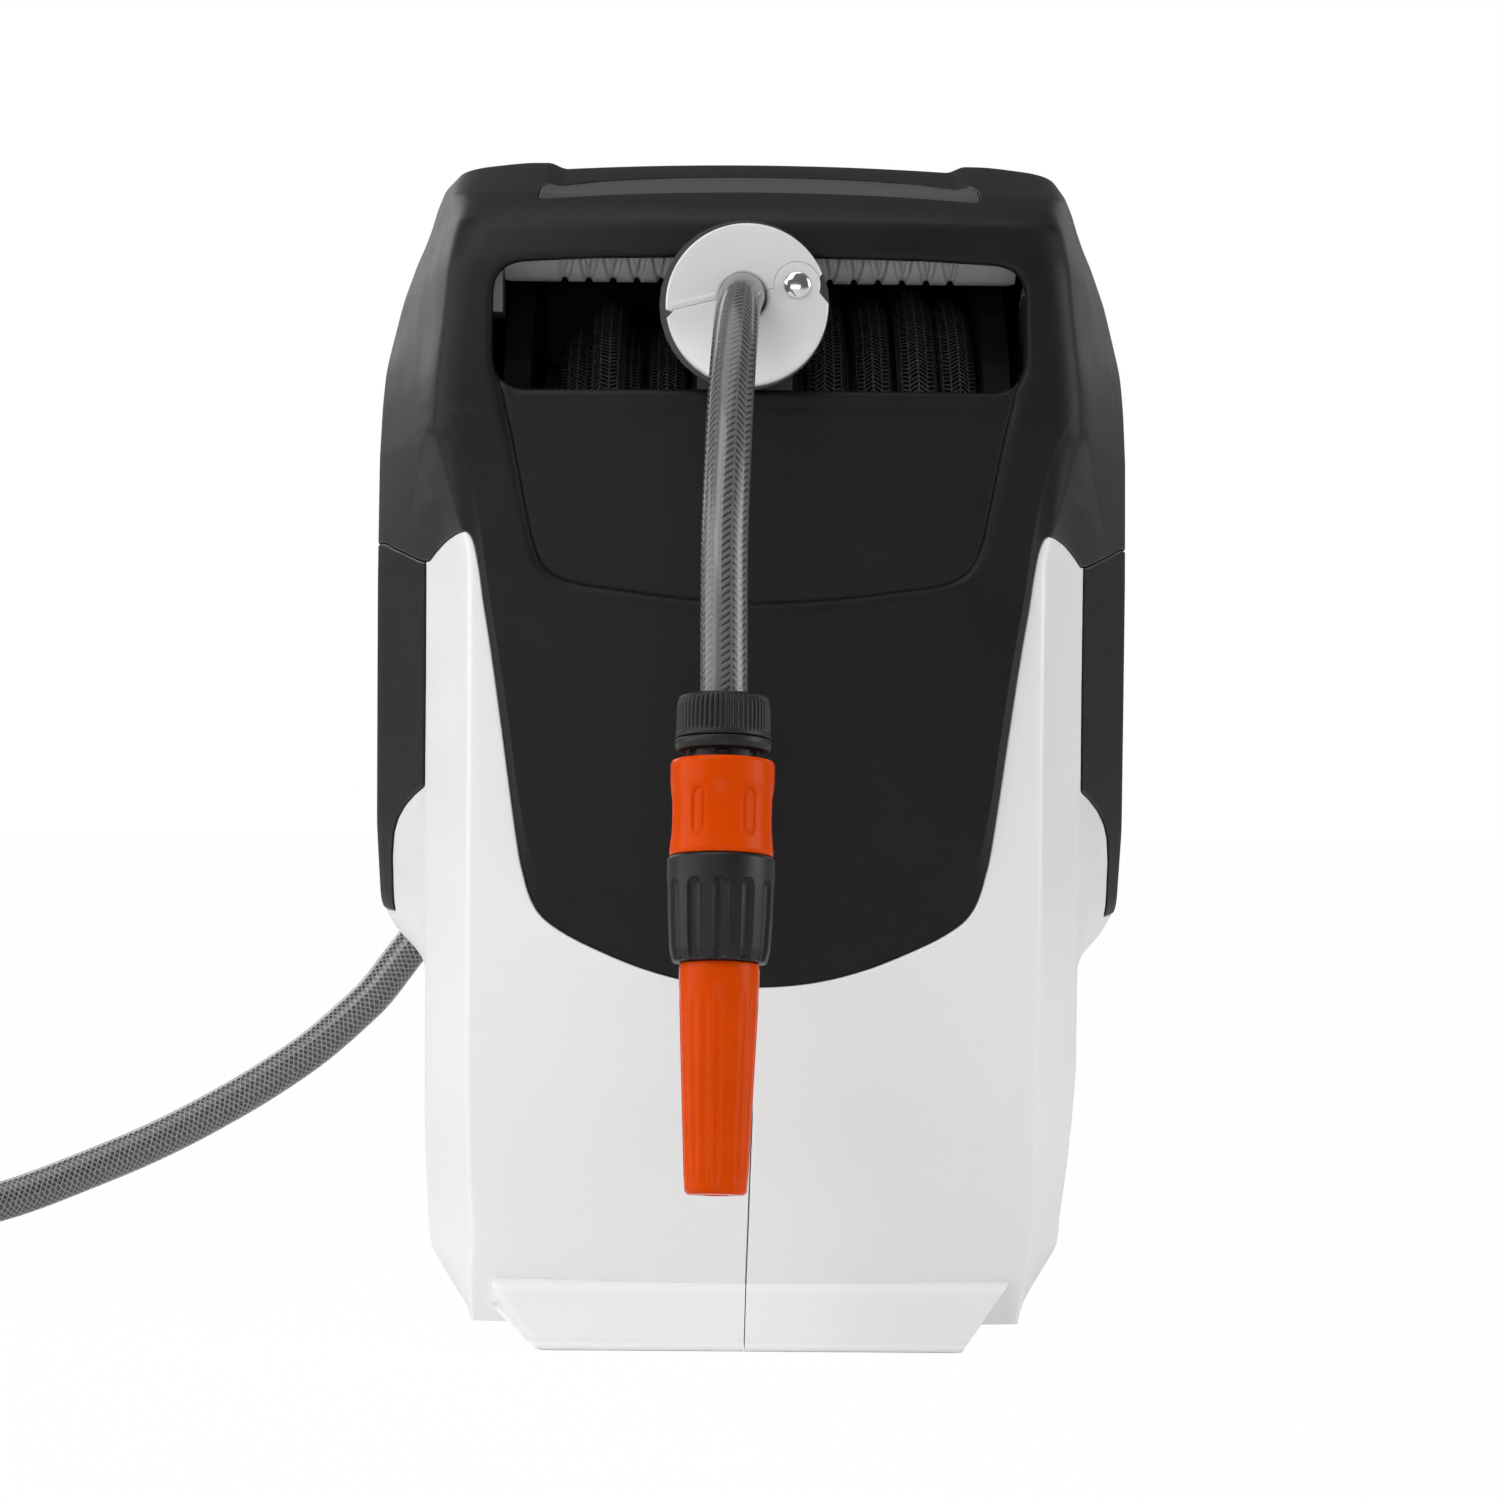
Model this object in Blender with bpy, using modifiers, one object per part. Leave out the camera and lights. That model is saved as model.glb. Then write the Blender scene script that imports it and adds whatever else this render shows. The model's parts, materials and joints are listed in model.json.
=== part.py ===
import math

import bmesh
import bpy
from mathutils import Matrix, Vector

# ---------------------------------------------------------------- driving dimensions (metres)
Y_SHIFT = -0.02625            # puts the middle of the object's depth at y 0
WALL = 0.003                  # housing wall
GAP = 0.00035                 # gap at the split lines of the housing
HOSE_R = 0.008                # half the hose's outside diameter
DRUM_Z = 0.245                # height of the drum axis
FLANGE_R = 0.174
FLANGE_X = 0.0857             # inner face of a flange
CORE_R = 0.1163
MODULE = 0.002                # gear module
TEETH_DRUM, TEETH_IDLER, TEETH_SCREW = 34, 38, 18
SCREW_Y, SCREW_Z = -0.1255, 0.4058
IDLER_A = (-0.0443, 0.3018)
IDLER_B = (-0.0910, 0.3617)
ROD_Y, ROD_Z = -0.160, 0.338
CAR_X = -0.005                # carriage centre
EXIT = (-0.0061, -0.1995, 0.3850)   # where the front hose leaves the stopper
DISC_X, DISC_Z, DISC_R = -0.0047, 0.3824, 0.0295
RIVET_X, RIVET_Z = 0.0134, 0.3896
FIT_TOP = Vector((-0.0124, -0.3120, 0.2389))
FIT_DIR = Vector((-0.009, -0.145, -0.9894)).normalized()
PIN_Y = 0.225                 # wall bracket pin
COIL = (-0.427, 0.0722)       # centre of the leader hose's coil

# ---------------------------------------------------------------- scene
for old in list(bpy.data.objects):
    bpy.data.objects.remove(old, do_unlink=True)

PARTS = bpy.data.collections.new("hose_reel")
CUTTERS = bpy.data.collections.new("cutters")
bpy.context.scene.collection.children.link(PARTS)
bpy.context.scene.collection.children.link(CUTTERS)

LOOKS = {
    "black": ((0.030, 0.030, 0.031), 0.55, 0.0),
    "gloss_black": ((0.040, 0.040, 0.042), 0.12, 0.0),
    "grey": ((0.80, 0.80, 0.80), 0.35, 0.0),
    "white": ((0.86, 0.86, 0.84), 0.25, 0.0),
    "orange": ((0.80, 0.115, 0.004), 0.35, 0.0),
    "hose": ((0.22, 0.22, 0.22), 0.40, 0.0),
    "steel": ((0.60, 0.60, 0.60), 0.28, 1.0),
    "brass": ((0.72, 0.52, 0.22), 0.30, 1.0),
    "drum": ((0.05, 0.05, 0.05), 0.50, 0.0),
}


def material(name, look):
    colour, rough, metal = LOOKS[look]
    mat = bpy.data.materials.new("mat_" + name)
    mat.use_nodes = True
    shader = next(n for n in mat.node_tree.nodes if n.type == 'BSDF_PRINCIPLED')
    shader.inputs["Base Color"].default_value = (*colour, 1.0)
    shader.inputs["Roughness"].default_value = rough
    shader.inputs["Metallic"].default_value = metal
    mat.diffuse_color = (*colour, 1.0)
    return mat


def empty(name, loc, parent=None, matrix=None):
    ob = bpy.data.objects.new(name, None)
    PARTS.objects.link(ob)
    ob.empty_display_size = 0.02
    ob.parent = parent
    ob.location = loc
    if matrix is not None:
        ob.rotation_euler = matrix.to_euler()
    return ob


ROOT = empty("hose_reel_root", (0.0, Y_SHIFT, 0.0))


def add(name, data, look, parent=None, loc=(0, 0, 0), rot=None):
    ob = bpy.data.objects.new(name, data)
    PARTS.objects.link(ob)
    ob.parent = parent or ROOT
    ob.location = loc
    if rot is not None:
        ob.rotation_euler = rot
    data.materials.append(material(name, look))
    return ob


def cutter(name, data, parent=None, loc=(0, 0, 0), rot=None):
    ob = bpy.data.objects.new("cut_" + name, data)
    CUTTERS.objects.link(ob)
    ob.parent = parent or ROOT
    ob.location = loc
    if rot is not None:
        ob.rotation_euler = rot
    ob.hide_render = True
    ob.display_type = 'WIRE'
    return ob


def boolean(ob, other, operation='DIFFERENCE'):
    mod = ob.modifiers.new(operation.lower(), 'BOOLEAN')
    mod.operation = operation
    mod.solver = 'EXACT'
    mod.object = other
    return mod


def baked(ob):
    """The evaluated mesh of an object, which is removed."""
    bpy.context.view_layer.update()
    graph = bpy.context.evaluated_depsgraph_get()
    mesh = bpy.data.meshes.new_from_object(ob.evaluated_get(graph))
    bpy.data.objects.remove(ob, do_unlink=True)
    return mesh


def weld(mesh, dist=1e-6, matrix=None):
    bm = bmesh.new()
    bm.from_mesh(mesh)
    bmesh.ops.remove_doubles(bm, verts=bm.verts, dist=dist)
    if matrix is not None:
        bmesh.ops.transform(bm, matrix=matrix, verts=bm.verts)
    bmesh.ops.recalc_face_normals(bm, faces=bm.faces)
    bm.to_mesh(mesh)
    bm.free()
    return mesh


# ---------------------------------------------------------------- shapes
def circle(cx, cy, r, n, start=0.0):
    return [(cx + r * math.cos(start + 2 * math.pi * k / n),
             cy + r * math.sin(start + 2 * math.pi * k / n)) for k in range(n)]


def box(x0, x1, y0, y1, z0, z1, matrix=None):
    bm = bmesh.new()
    bmesh.ops.create_cube(bm, size=1.0)
    place = Matrix.Translation(((x0 + x1) / 2, (y0 + y1) / 2, (z0 + z1) / 2)) @ \
        Matrix.Diagonal((x1 - x0, y1 - y0, z1 - z0, 1.0))
    if matrix is not None:
        place = matrix @ place
    bmesh.ops.transform(bm, matrix=place, verts=bm.verts)
    mesh = bpy.data.meshes.new("box")
    bm.to_mesh(mesh)
    bm.free()
    return mesh


def rod(a, b, r, seg=20):
    a, b = Vector(a), Vector(b)
    axis = b - a
    bm = bmesh.new()
    bmesh.ops.create_cone(bm, cap_ends=True, cap_tris=False, segments=seg,
                          radius1=r, radius2=r, depth=axis.length)
    place = Matrix.Translation((a + b) / 2) @ axis.to_track_quat('Z', 'Y').to_matrix().to_4x4()
    bmesh.ops.transform(bm, matrix=place, verts=bm.verts)
    mesh = bpy.data.meshes.new("rod")
    bm.to_mesh(mesh)
    bm.free()
    return mesh


PLANES = {
    'XY': Matrix(((1, 0, 0), (0, 1, 0), (0, 0, 1))),
    'YZ': Matrix(((0, 0, 1), (1, 0, 0), (0, 1, 0))),
    'XZ': Matrix(((1, 0, 0), (0, 0, -1), (0, 1, 0))),
}


def plate(outline, holes, t0, t1, plane):
    """A flat outline with holes, given thickness from t0 to t1 along its plane's normal."""
    curve = bpy.data.curves.new("plate", 'CURVE')
    curve.dimensions = '2D'
    curve.fill_mode = 'BOTH'
    curve.extrude = (t1 - t0) / 2
    for loop in [outline] + list(holes):
        spline = curve.splines.new('POLY')
        spline.points.add(len(loop) - 1)
        for point, (u, v) in zip(spline.points, loop):
            point.co = (u, v, 0.0, 1.0)
        spline.use_cyclic_u = True
    ob = bpy.data.objects.new("plate", curve)
    CUTTERS.objects.link(ob)
    mesh = baked(ob)
    bpy.data.curves.remove(curve)
    shift = {'XY': (0, 0, 1), 'YZ': (1, 0, 0), 'XZ': (0, 1, 0)}[plane]
    place = Matrix.Translation(Vector(shift) * (t0 + t1) / 2) @ PLANES[plane].to_4x4()
    return weld(mesh, 1e-6, place)


def turned(name, points, steps, look, axis, parent=None, loc=(0, 0, 0), closed=False):
    """Profile (radius, height along the axis) turned about the axis with the Screw modifier."""
    mesh = bpy.data.meshes.new(name)
    edges = [(i, i + 1) for i in range(len(points) - 1)]
    if closed:
        edges.append((len(points) - 1, 0))
    mesh.from_pydata([(r, 0.0, h) for r, h in points], edges, [])
    rot = {'X': (0, math.pi / 2, 0), 'Y': (-math.pi / 2, 0, 0), 'Z': (0, 0, 0)}[axis]
    if look == "cutter":
        ob = cutter(name, mesh, parent, loc, rot)
    else:
        ob = add(name, mesh, look, parent, loc, rot)
    mod = ob.modifiers.new("turn", 'SCREW')
    mod.axis = 'Z'
    mod.angle = 2 * math.pi
    mod.screw_offset = 0.0
    mod.steps = steps
    mod.render_steps = steps
    mod.use_merge_vertices = True
    mod.merge_threshold = 0.00001
    mod.use_smooth_shade = True
    return ob


def smooth_line(points, count):
    """Points read evenly from a Catmull-Rom curve through the given points."""
    pts = [Vector(p) for p in points]
    pts = [2 * pts[0] - pts[1]] + pts + [2 * pts[-1] - pts[-2]]
    dense = []
    for i in range(1, len(pts) - 2):
        p0, p1, p2, p3 = pts[i - 1:i + 3]
        for k in range(24):
            t = k / 24
            dense.append(0.5 * ((2 * p1) + (p2 - p0) * t + (2 * p0 - 5 * p1 + 4 * p2 - p3) * t * t
                                + (3 * p1 - p0 - 3 * p2 + p3) * t ** 3))
    dense.append(pts[-2])
    return even(dense, count)


def even(dense, count):
    lengths = [0.0]
    for a, b in zip(dense, dense[1:]):
        lengths.append(lengths[-1] + (b - a).length)
    out, j = [], 0
    for k in range(count):
        s = lengths[-1] * k / (count - 1)
        while j < len(lengths) - 2 and lengths[j + 1] < s:
            j += 1
        t = (s - lengths[j]) / max(lengths[j + 1] - lengths[j], 1e-12)
        out.append(dense[j].lerp(dense[j + 1], min(max(t, 0.0), 1.0)))
    return out


def tube_curve(name, points, r, res=2):
    curve = bpy.data.curves.new(name, 'CURVE')
    curve.dimensions = '3D'
    curve.bevel_depth = r
    curve.bevel_resolution = res
    curve.use_fill_caps = True
    spline = curve.splines.new('POLY')
    spline.points.add(len(points) - 1)
    for point, co in zip(spline.points, points):
        point.co = (co[0], co[1], co[2], 1.0)
    spline.use_smooth = True
    return curve


def tube_mesh(points, r, res=2):
    curve = tube_curve("tube", points, r, res)
    ob = bpy.data.objects.new("tube", curve)
    CUTTERS.objects.link(ob)
    mesh = baked(ob)
    bpy.data.curves.remove(curve)
    mesh = weld(mesh, 1e-6)
    mesh.shade_smooth()
    return mesh


def gear_outline(teeth, phase):
    pitch = MODULE * teeth / 2
    tip, root = pitch + 0.9 * MODULE, pitch - 1.2 * MODULE
    half_tip, half_root = 0.00064, 0.00215
    pts = []
    for k in range(teeth):
        a = phase + 2 * math.pi * k / teeth
        for r, d in ((root, -half_root), (tip, -half_tip), (tip, half_tip), (root, half_root)):
            pts.append((r * math.cos(a + d / r), r * math.sin(a + d / r)))
    return pts


def loft(rings):
    """Closed skin through rings of equal count, bottom to top."""
    bm = bmesh.new()
    rows = [[bm.verts.new(p) for p in ring] for ring in rings]
    n = len(rows[0])
    for low, high in zip(rows, rows[1:]):
        for i in range(n):
            j = (i + 1) % n
            bm.faces.new((low[i], low[j], high[j], high[i]))
    bm.faces.new(list(reversed(rows[0])))
    bm.faces.new(rows[-1])
    bmesh.ops.recalc_face_normals(bm, faces=bm.faces)
    bmesh.ops.triangulate(bm, faces=bm.faces)
    mesh = bpy.data.meshes.new("loft")
    bm.to_mesh(mesh)
    bm.free()
    return mesh


def offset(poly, d):
    """Outline moved inward (d > 0, counter-clockwise outline) with mitred corners."""
    out = []
    n = len(poly)
    for i in range(n):
        a, p, b = (Vector(poly[i - 1]), Vector(poly[i]), Vector(poly[(i + 1) % n]))
        e1, e2 = (p - a).normalized(), (b - p).normalized()
        n1, n2 = Vector((-e1.y, e1.x)), Vector((-e2.y, e2.x))
        m = (n1 + n2) / max(1.0 + n1.dot(n2), 0.35)
        out.append((p.x + m.x * d, p.y + m.y * d))
    return out


def signed_area(poly):
    return 0.5 * sum(a[0] * b[1] - b[0] * a[1] for a, b in zip(poly, poly[1:] + poly[:1]))


def grow(poly, d):
    return offset(poly, -d if signed_area(poly) > 0 else d)


# ---------------------------------------------------------------- housing skin
# z, front centre y, front crease x y, chamfer x y, side front x y, side rear x y, rear corner x y, rear y
LEVELS = (
    (8.0, -163, 104, -157, 106.5, -120, 106.5, -20, 106.5, 20, 98.5, 172, 176),
    (34.5, -168, 105.5, -160, 124.2, -120, 124.5, -20, 124.5, 20, 106, 177, 182),
    (100.0, -178.5, 105.9, -169, 124.4, -120, 125.7, -20, 125.7, 20, 107.5, 178, 188),
    (127.0, -181, 106, -171.5, 124.5, -120, 126.2, -20, 126.2, 20, 108, 178, 189),
    (137.0, -182, 106, -172.5, 124.5, -120, 131, -20, 131, 20, 108, 178, 189),
    (147.0, -182.7, 106, -173, 124.5, -120, 142.5, -20, 142.5, 20, 108, 178, 189),
    (158.0, -183.2, 106, -173.5, 124.5, -120, 149, -20, 149, 20, 108, 178, 189),
    (190.0, -184.5, 106, -175, 124.5, -120, 151, -20, 151, 20, 108, 178, 189),
    (245.0, -186, 106, -176, 124.5, -120, 151.3, -20, 151.3, 20, 108, 178, 189),
    (291.0, -186.8, 106.2, -176.5, 124.2, -122, 151.5, -20, 151.5, 20, 110, 177, 189),
    (337.5, -187, 116.5, -178.5, 121.5, -168, 151, -20, 151, 20, 115, 173, 189),
    (358.0, -187, 116, -178.5, 121.2, -166, 150, -20, 150, 20, 114.5, 170, 185),
    (373.0, -186.8, 115, -178, 119.5, -165, 148.6, -20, 148.6, 20, 114, 166, 180),
    (400.0, -186, 112.5, -176.5, 117.5, -163, 142, -18, 142, 20, 112, 150, 162),
    (415.0, -183.5, 109.5, -173, 115, -158, 136.5, -18, 136.5, 20, 111, 135, 145),
    (421.5, -174.5, 107.5, -164, 114.5, -150, 133.5, -18, 133.5, 20, 110.5, 126, 136),
    (428.0, -156.5, 107, -150, 115, -138, 131, -18, 131, 20, 109, 112, 122),
    (436.5, -121.5, 106, -118, 116, -105, 128.5, -18, 128.5, 20, 107, 88, 100),
    (444.0, -96, 104.5, -91, 115, -78, 125.6, -18, 125.6, 18, 106, 62, 72),
    (447.6, -81, 105, -76, 114.5, -62, 122.5, -17, 122.5, 14, 104, 42, 52),
    (449.5, -70, 103, -65, 110.5, -50, 116.5, -15, 116.5, 10, 100, 20, 30),
)


def section(row):
    _, ay, bx, by, cx, cy, dx, dy, ex, ey, fx, fy, gy = row
    half = [(0, ay), (0.66 * bx, ay + 0.40 * (by - ay)), (bx, by), (cx, cy),
            (dx, dy), (ex, ey), (fx, fy), (45.0, gy), (0, gy)]
    full = half + [(-x, y) for x, y in reversed(half[1:-1])]
    return [(x / 1000, y / 1000) for x, y in full]


def inner_shift(z):
    return 0.003 * max(-1.0, min(1.0, (z - 0.28) / 0.12))


outer_rings, inner_rings = [], []
for row in LEVELS:
    z = row[0] / 1000
    flat = section(row)
    outer_rings.append([(x, y, z) for x, y in flat])
    zi = z - inner_shift(z)
    inner_rings.append([(x, y, zi) for x, y in offset(flat, WALL)])


def foot(levels):
    return loft([[(-x, y0, z), (x, y0, z), (x, y1, z), (-x, y1, z)] for x, y0, y1, z in levels])


outer = cutter("outer", loft(outer_rings))
outer_foot = cutter("outer_foot", foot(((0.0775, -0.1770, 0.170, 0.0), (0.0905, -0.1750, 0.170, 0.008),
                                        (0.0954, -0.1690, 0.170, 0.0235))))
inner = cutter("inner", loft(inner_rings))
inner_foot = cutter("inner_foot", foot(((0.0755, -0.1735, 0.167, 0.003), (0.0865, -0.1715, 0.167, 0.009),
                                        (0.0905, -0.1655, 0.167, 0.0200))))
boolean(inner, inner_foot, 'UNION')

# posts for the case screws and blocks that carry the bearing plates stay solid
SCREWS = ((-0.100, 0.050), (0.004, 0.0283), (0.060, 0.050))
for i, (y, z) in enumerate(SCREWS):
    boolean(inner, cutter("post_%d" % i, rod((-0.14, y, z), (0.14, y, z), 0.007, 16)))
for i, (x0, x1) in enumerate(((-0.140, -0.1153), (0.1153, 0.140))):
    boolean(inner, cutter("block_a%d" % i, box(x0, x1, -0.118, -0.098, 0.075, 0.105)))
    boolean(inner, cutter("block_b%d" % i, box(x0, x1, 0.012, 0.030, 0.075, 0.105)))

boolean(outer, outer_foot, 'UNION')
# low humps on the crest, one each side of the label
for i, side in enumerate((-1, 1)):
    hump = []
    for x0, x1, y0, y1, z in ((0.0700, 0.1010, -0.0790, -0.0380, 0.4474), (0.0740, 0.0970, -0.0740, -0.0450, 0.4506)):
        a, b = sorted((side * x0, side * x1))
        hump.append([(a, y0, z), (b, y0, z), (b, y1, z), (a, y1, z)])
    boolean(outer, cutter("hump_%d" % i, loft(hump)), 'UNION')
boolean(outer, inner)
blank = outer.copy()
blank.data = outer.data.copy()
CUTTERS.objects.link(blank)
blank.hide_render = False
BLANK = baked(blank)

TONGUE = [(-0.104, 0.305), (-0.0995, 0.285), (-0.0932, 0.2365), (-0.087, 0.184), (-0.0825, 0.169),
          (-0.0765, 0.1605), (-0.055, 0.1464), (-0.028, 0.1372), (0.0, 0.1342), (0.028, 0.1372), (0.055, 0.1464),
          (0.0765, 0.1605), (0.0825, 0.169), (0.087, 0.184), (0.0932, 0.2365), (0.0995, 0.285), (0.104, 0.305),
          (0.104, 0.40), (-0.104, 0.40)]
UPPER = [(-0.170, 0.3005), (-0.138, 0.2970), (-0.123, 0.2910), (-0.115, 0.2980), (-0.1065, 0.3018),
         (-0.1040, 0.3050), (0.1040, 0.3050), (0.1065, 0.3018), (0.115, 0.2980), (0.123, 0.2910), (0.138, 0.2970),
         (0.170, 0.3005), (0.170, 0.470), (-0.170, 0.470)]
SIDE = [(-0.115, 0.320), (-0.115, 0.2075), (-0.060, 0.1915), (-0.052, 0.1560), (0.052, 0.1560), (0.060, 0.1915),
        (0.115, 0.2075), (0.115, 0.320)]


def cover_region(tag, d):
    upper = cutter("upper" + tag, plate(grow(UPPER, d), [], -0.26, 0.26, 'XZ'))
    tongue = cutter("tongue" + tag, plate(grow(TONGUE, d), [], -0.26, -0.10, 'XZ'))
    boolean(upper, tongue, 'UNION')
    return upper


region_cover = cover_region("_in", 0.0)
region_cover_big = cover_region("_out", GAP)
region_left = cutter("left_side", plate(SIDE, [], -0.170, -0.110, 'YZ'))
region_right = cutter("right_side", plate(SIDE, [], 0.110, 0.170, 'YZ'))
region_left_big = cutter("left_side_big", plate(grow(SIDE, GAP), [], -0.172, -0.110, 'YZ'))
region_right_big = cutter("right_side_big", plate(grow(SIDE, GAP), [], 0.110, 0.172, 'YZ'))


def skin(name, look):
    ob = add(name, BLANK.copy(), look)
    ob.data.shade_smooth()
    ob.data.set_sharp_from_angle(angle=math.radians(28))
    return ob


# top cover with its tongue, slot, label recess and grip hole
top_cover = skin("top_cover", "black")
boolean(top_cover, region_cover, 'INTERSECT')
r = 0.011
slot = []
for cx, cz, a0 in ((0.0981 - r, 0.3513 + r, -90), (0.0981 - r, 0.4010 - r, 0), (-0.0981 + r, 0.4010 - r, 90),
                   (-0.0981 + r, 0.3513 + r, 180)):
    slot += [(cx + r * math.cos(math.radians(a0 + k * 22.5)), cz + r * math.sin(math.radians(a0 + k * 22.5)))
             for k in range(5)]
boolean(top_cover, cutter("slot", plate(slot, [], -0.25, -0.145, 'XZ')))
tilt = Matrix.Translation((0, -0.1355, 0.43285)) @ Matrix.Rotation(math.radians(14.5), 4, 'X')
boolean(top_cover, cutter("label_recess", box(-0.0829, 0.0829, -0.0285, 0.0285, -0.0008, 0.02, tilt)))
boolean(top_cover, cutter("grip_hole", box(-0.0558, 0.0558, 0.0117, 0.0883, 0.40, 0.47)))

label = add("label_plate", box(-0.0825, 0.0825, -0.0281, 0.0281, -0.0005, 0.0008), "gloss_black",
            loc=(0, -0.1355, 0.43285), rot=(math.radians(14.5), 0, 0))

# side covers
left_side_cover = skin("left_side_cover", "black")
boolean(left_side_cover, region_left, 'INTERSECT')
boolean(left_side_cover, region_cover_big)
right_side_cover = skin("right_side_cover", "black")
boolean(right_side_cover, region_right, 'INTERSECT')
boolean(right_side_cover, region_cover_big)

# the two housing halves
GROMMET_A = Vector((-0.1190, 0.1062, 0.1664))
GROMMET_D = Vector((-0.63, -0.12, -0.767)).normalized()
grommet_hole = cutter("grommet_hole", rod(GROMMET_A - GROMMET_D * 0.012, GROMMET_A + GROMMET_D * 0.05, 0.0119, 20))
screw_bores = []
for i, (y, z) in enumerate(SCREWS):
    screw_bores.append(cutter("screw_bore_%d" % i, rod((-0.022, y, z), (0.14, y, z), 0.0023, 12)))
    screw_bores.append(cutter("screw_head_%d" % i, rod((0.1127, y, z), (0.15, y, z), 0.0045, 12)))

left_shell = skin("left_shell", "grey")
boolean(left_shell, cutter("left_half", box(-0.20, -0.00018, -0.3, 0.3, -0.05, 0.35)), 'INTERSECT')
boolean(left_shell, region_cover_big)
boolean(left_shell, region_left_big)
boolean(left_shell, grommet_hole)
right_shell = skin("right_shell", "grey")
boolean(right_shell, cutter("right_half", box(0.00018, 0.20, -0.3, 0.3, -0.05, 0.35)), 'INTERSECT')
boolean(right_shell, region_cover_big)
boolean(right_shell, region_right_big)
for bore in screw_bores:
    boolean(right_shell, bore)
for bore in screw_bores[0::2]:
    boolean(left_shell, bore)
for i, (y, z) in enumerate(SCREWS):
    turned("case_screw_%d" % (i + 1), [(0, 0.1155), (0.0040, 0.1155), (0.0040, 0.1130), (0.0020, 0.1130),
                                       (0.0020, -0.0180), (0, -0.0195)], 12, "steel", 'X', loc=(0, y, z))

# grip recess and the bar across it
cup_out = [(0.0120, 0.4215), (0.0880, 0.4015), (0.0880, 0.4376), (0.0700, 0.4418), (0.0300, 0.4470),
           (0.0120, 0.4475)]
cup_in = [(0.0140, 0.4232), (0.0860, 0.4041), (0.0860, 0.470), (0.0140, 0.470)]
handle_cup = add("handle_cup", plate(cup_out, [], -0.0555, 0.0555, 'YZ'), "black")
boolean(handle_cup, cutter("cup_hollow", plate(cup_in, [], -0.0535, 0.0535, 'YZ')))
add("carry_handle", rod((-0.0532, 0.030, 0.4380), (0.0532, 0.030, 0.4380), 0.0080, 20), "black")

# ---------------------------------------------------------------- fixed works
turned("main_shaft", [(0.014, 0.1165), (0.014, -0.1280), (0.006, -0.1280), (0.006, 0.1165)], 24, "steel", 'X',
       loc=(0, 0, DRUM_Z), closed=True)
PLATE_OUTLINE = [(-0.120, 0.065), (0.035, 0.065), (0.045, 0.110), (0.045, 0.225), (0.100, 0.262), (0.100, 0.330),
                 (0.030, 0.395), (-0.060, 0.4135), (-0.1315, 0.4135), (-0.1370, 0.4060), (-0.1460, 0.3900),
                 (-0.1580, 0.3720), (-0.1665, 0.3550), (-0.1670, 0.3380), (-0.1640, 0.3300), (-0.1460, 0.3140),
                 (-0.128, 0.290), (-0.128, 0.100)]
shaft_bore = circle(0, DRUM_Z, 0.0143, 28)
add("left_bearing_plate", plate(PLATE_OUTLINE, [shaft_bore], -0.1150, -0.1115, 'YZ'), "drum")
add("right_bearing_plate", plate(PLATE_OUTLINE, [shaft_bore, circle(SCREW_Y, SCREW_Z, 0.0063, 20)],
                                 0.1115, 0.1150, 'YZ'), "drum")
left_block = add("screw_bearing_left", box(-0.1112, -0.0960, -0.1380, -0.1130, 0.3850, 0.4140), "white")
boolean(left_block, cutter("block_bore", rod((-0.12, SCREW_Y, SCREW_Z), (-0.09, SCREW_Y, SCREW_Z), 0.0053, 20)))
turned("screw_bearing_right", [(0.0060, 0.1155), (0.0060, 0.1112), (0.0085, 0.1112), (0.0085, 0.1103),
                               (0.0053, 0.1103), (0.0053, 0.1155)], 20, "white", 'X',
       loc=(0, SCREW_Y, SCREW_Z), closed=True)
add("guide_rod", rod((-0.1112, ROD_Y, ROD_Z), (0.1112, ROD_Y, ROD_Z), 0.004, 16), "steel")
for tag, (y, z) in (("a", IDLER_A), ("b", IDLER_B)):
    turned("idler_axle_" + tag, [(0, 0.1112), (0.0040, 0.1112), (0.0040, 0.1024), (0.0065, 0.1024), (0.0065, 0.1008),
                                 (0, 0.1008)], 16, "steel", 'X', loc=(0, y, z))

# water inlet
turned("inlet_swivel", [(0, -0.1287), (0.0144, -0.1287), (0.0144, -0.1160), (0.0180, -0.1160), (0.0180, -0.1420),
                        (0, -0.1420)], 24, "brass", 'X', loc=(0, 0, DRUM_Z))
pipe_end = GROMMET_A - GROMMET_D * 0.0004
pipe_route = [(-0.130, 0.004, 0.2265), (-0.130, 0.004, 0.2190), (-0.130, 0.006, 0.2085), (-0.130, 0.016, 0.1985),
              (-0.130, 0.032, 0.1950), (-0.1285, 0.052, 0.1950), (-0.1205, 0.0755, 0.1955),
              (-0.1110, 0.0950, 0.1920), (-0.1090, 0.1055, 0.1830), tuple(pipe_end - GROMMET_D * 0.0085),
              tuple(pipe_end)]
add("inlet_pipe", tube_curve("inlet_pipe", smooth_line(pipe_route, 24), 0.0068, 1), "drum")
turned("hose_clamp", [(0.0086, 0.2235), (0.0086, 0.2175), (0.0073, 0.2175), (0.0073, 0.2235)], 20, "steel", 'Z',
       loc=(-0.130, 0.004, 0.0), closed=True)
grommet_frame = empty("grommet_axis", tuple(GROMMET_A), ROOT,
                      Vector((0, 0, 1)).rotation_difference(GROMMET_D).to_matrix())
turned("leader_grommet", [(0.0115, 0.0187), (0.0115, 0.0), (0.0084, 0.0), (0.0084, 0.0187)], 24, "black", 'Z',
       parent=grommet_frame, closed=True)

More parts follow.
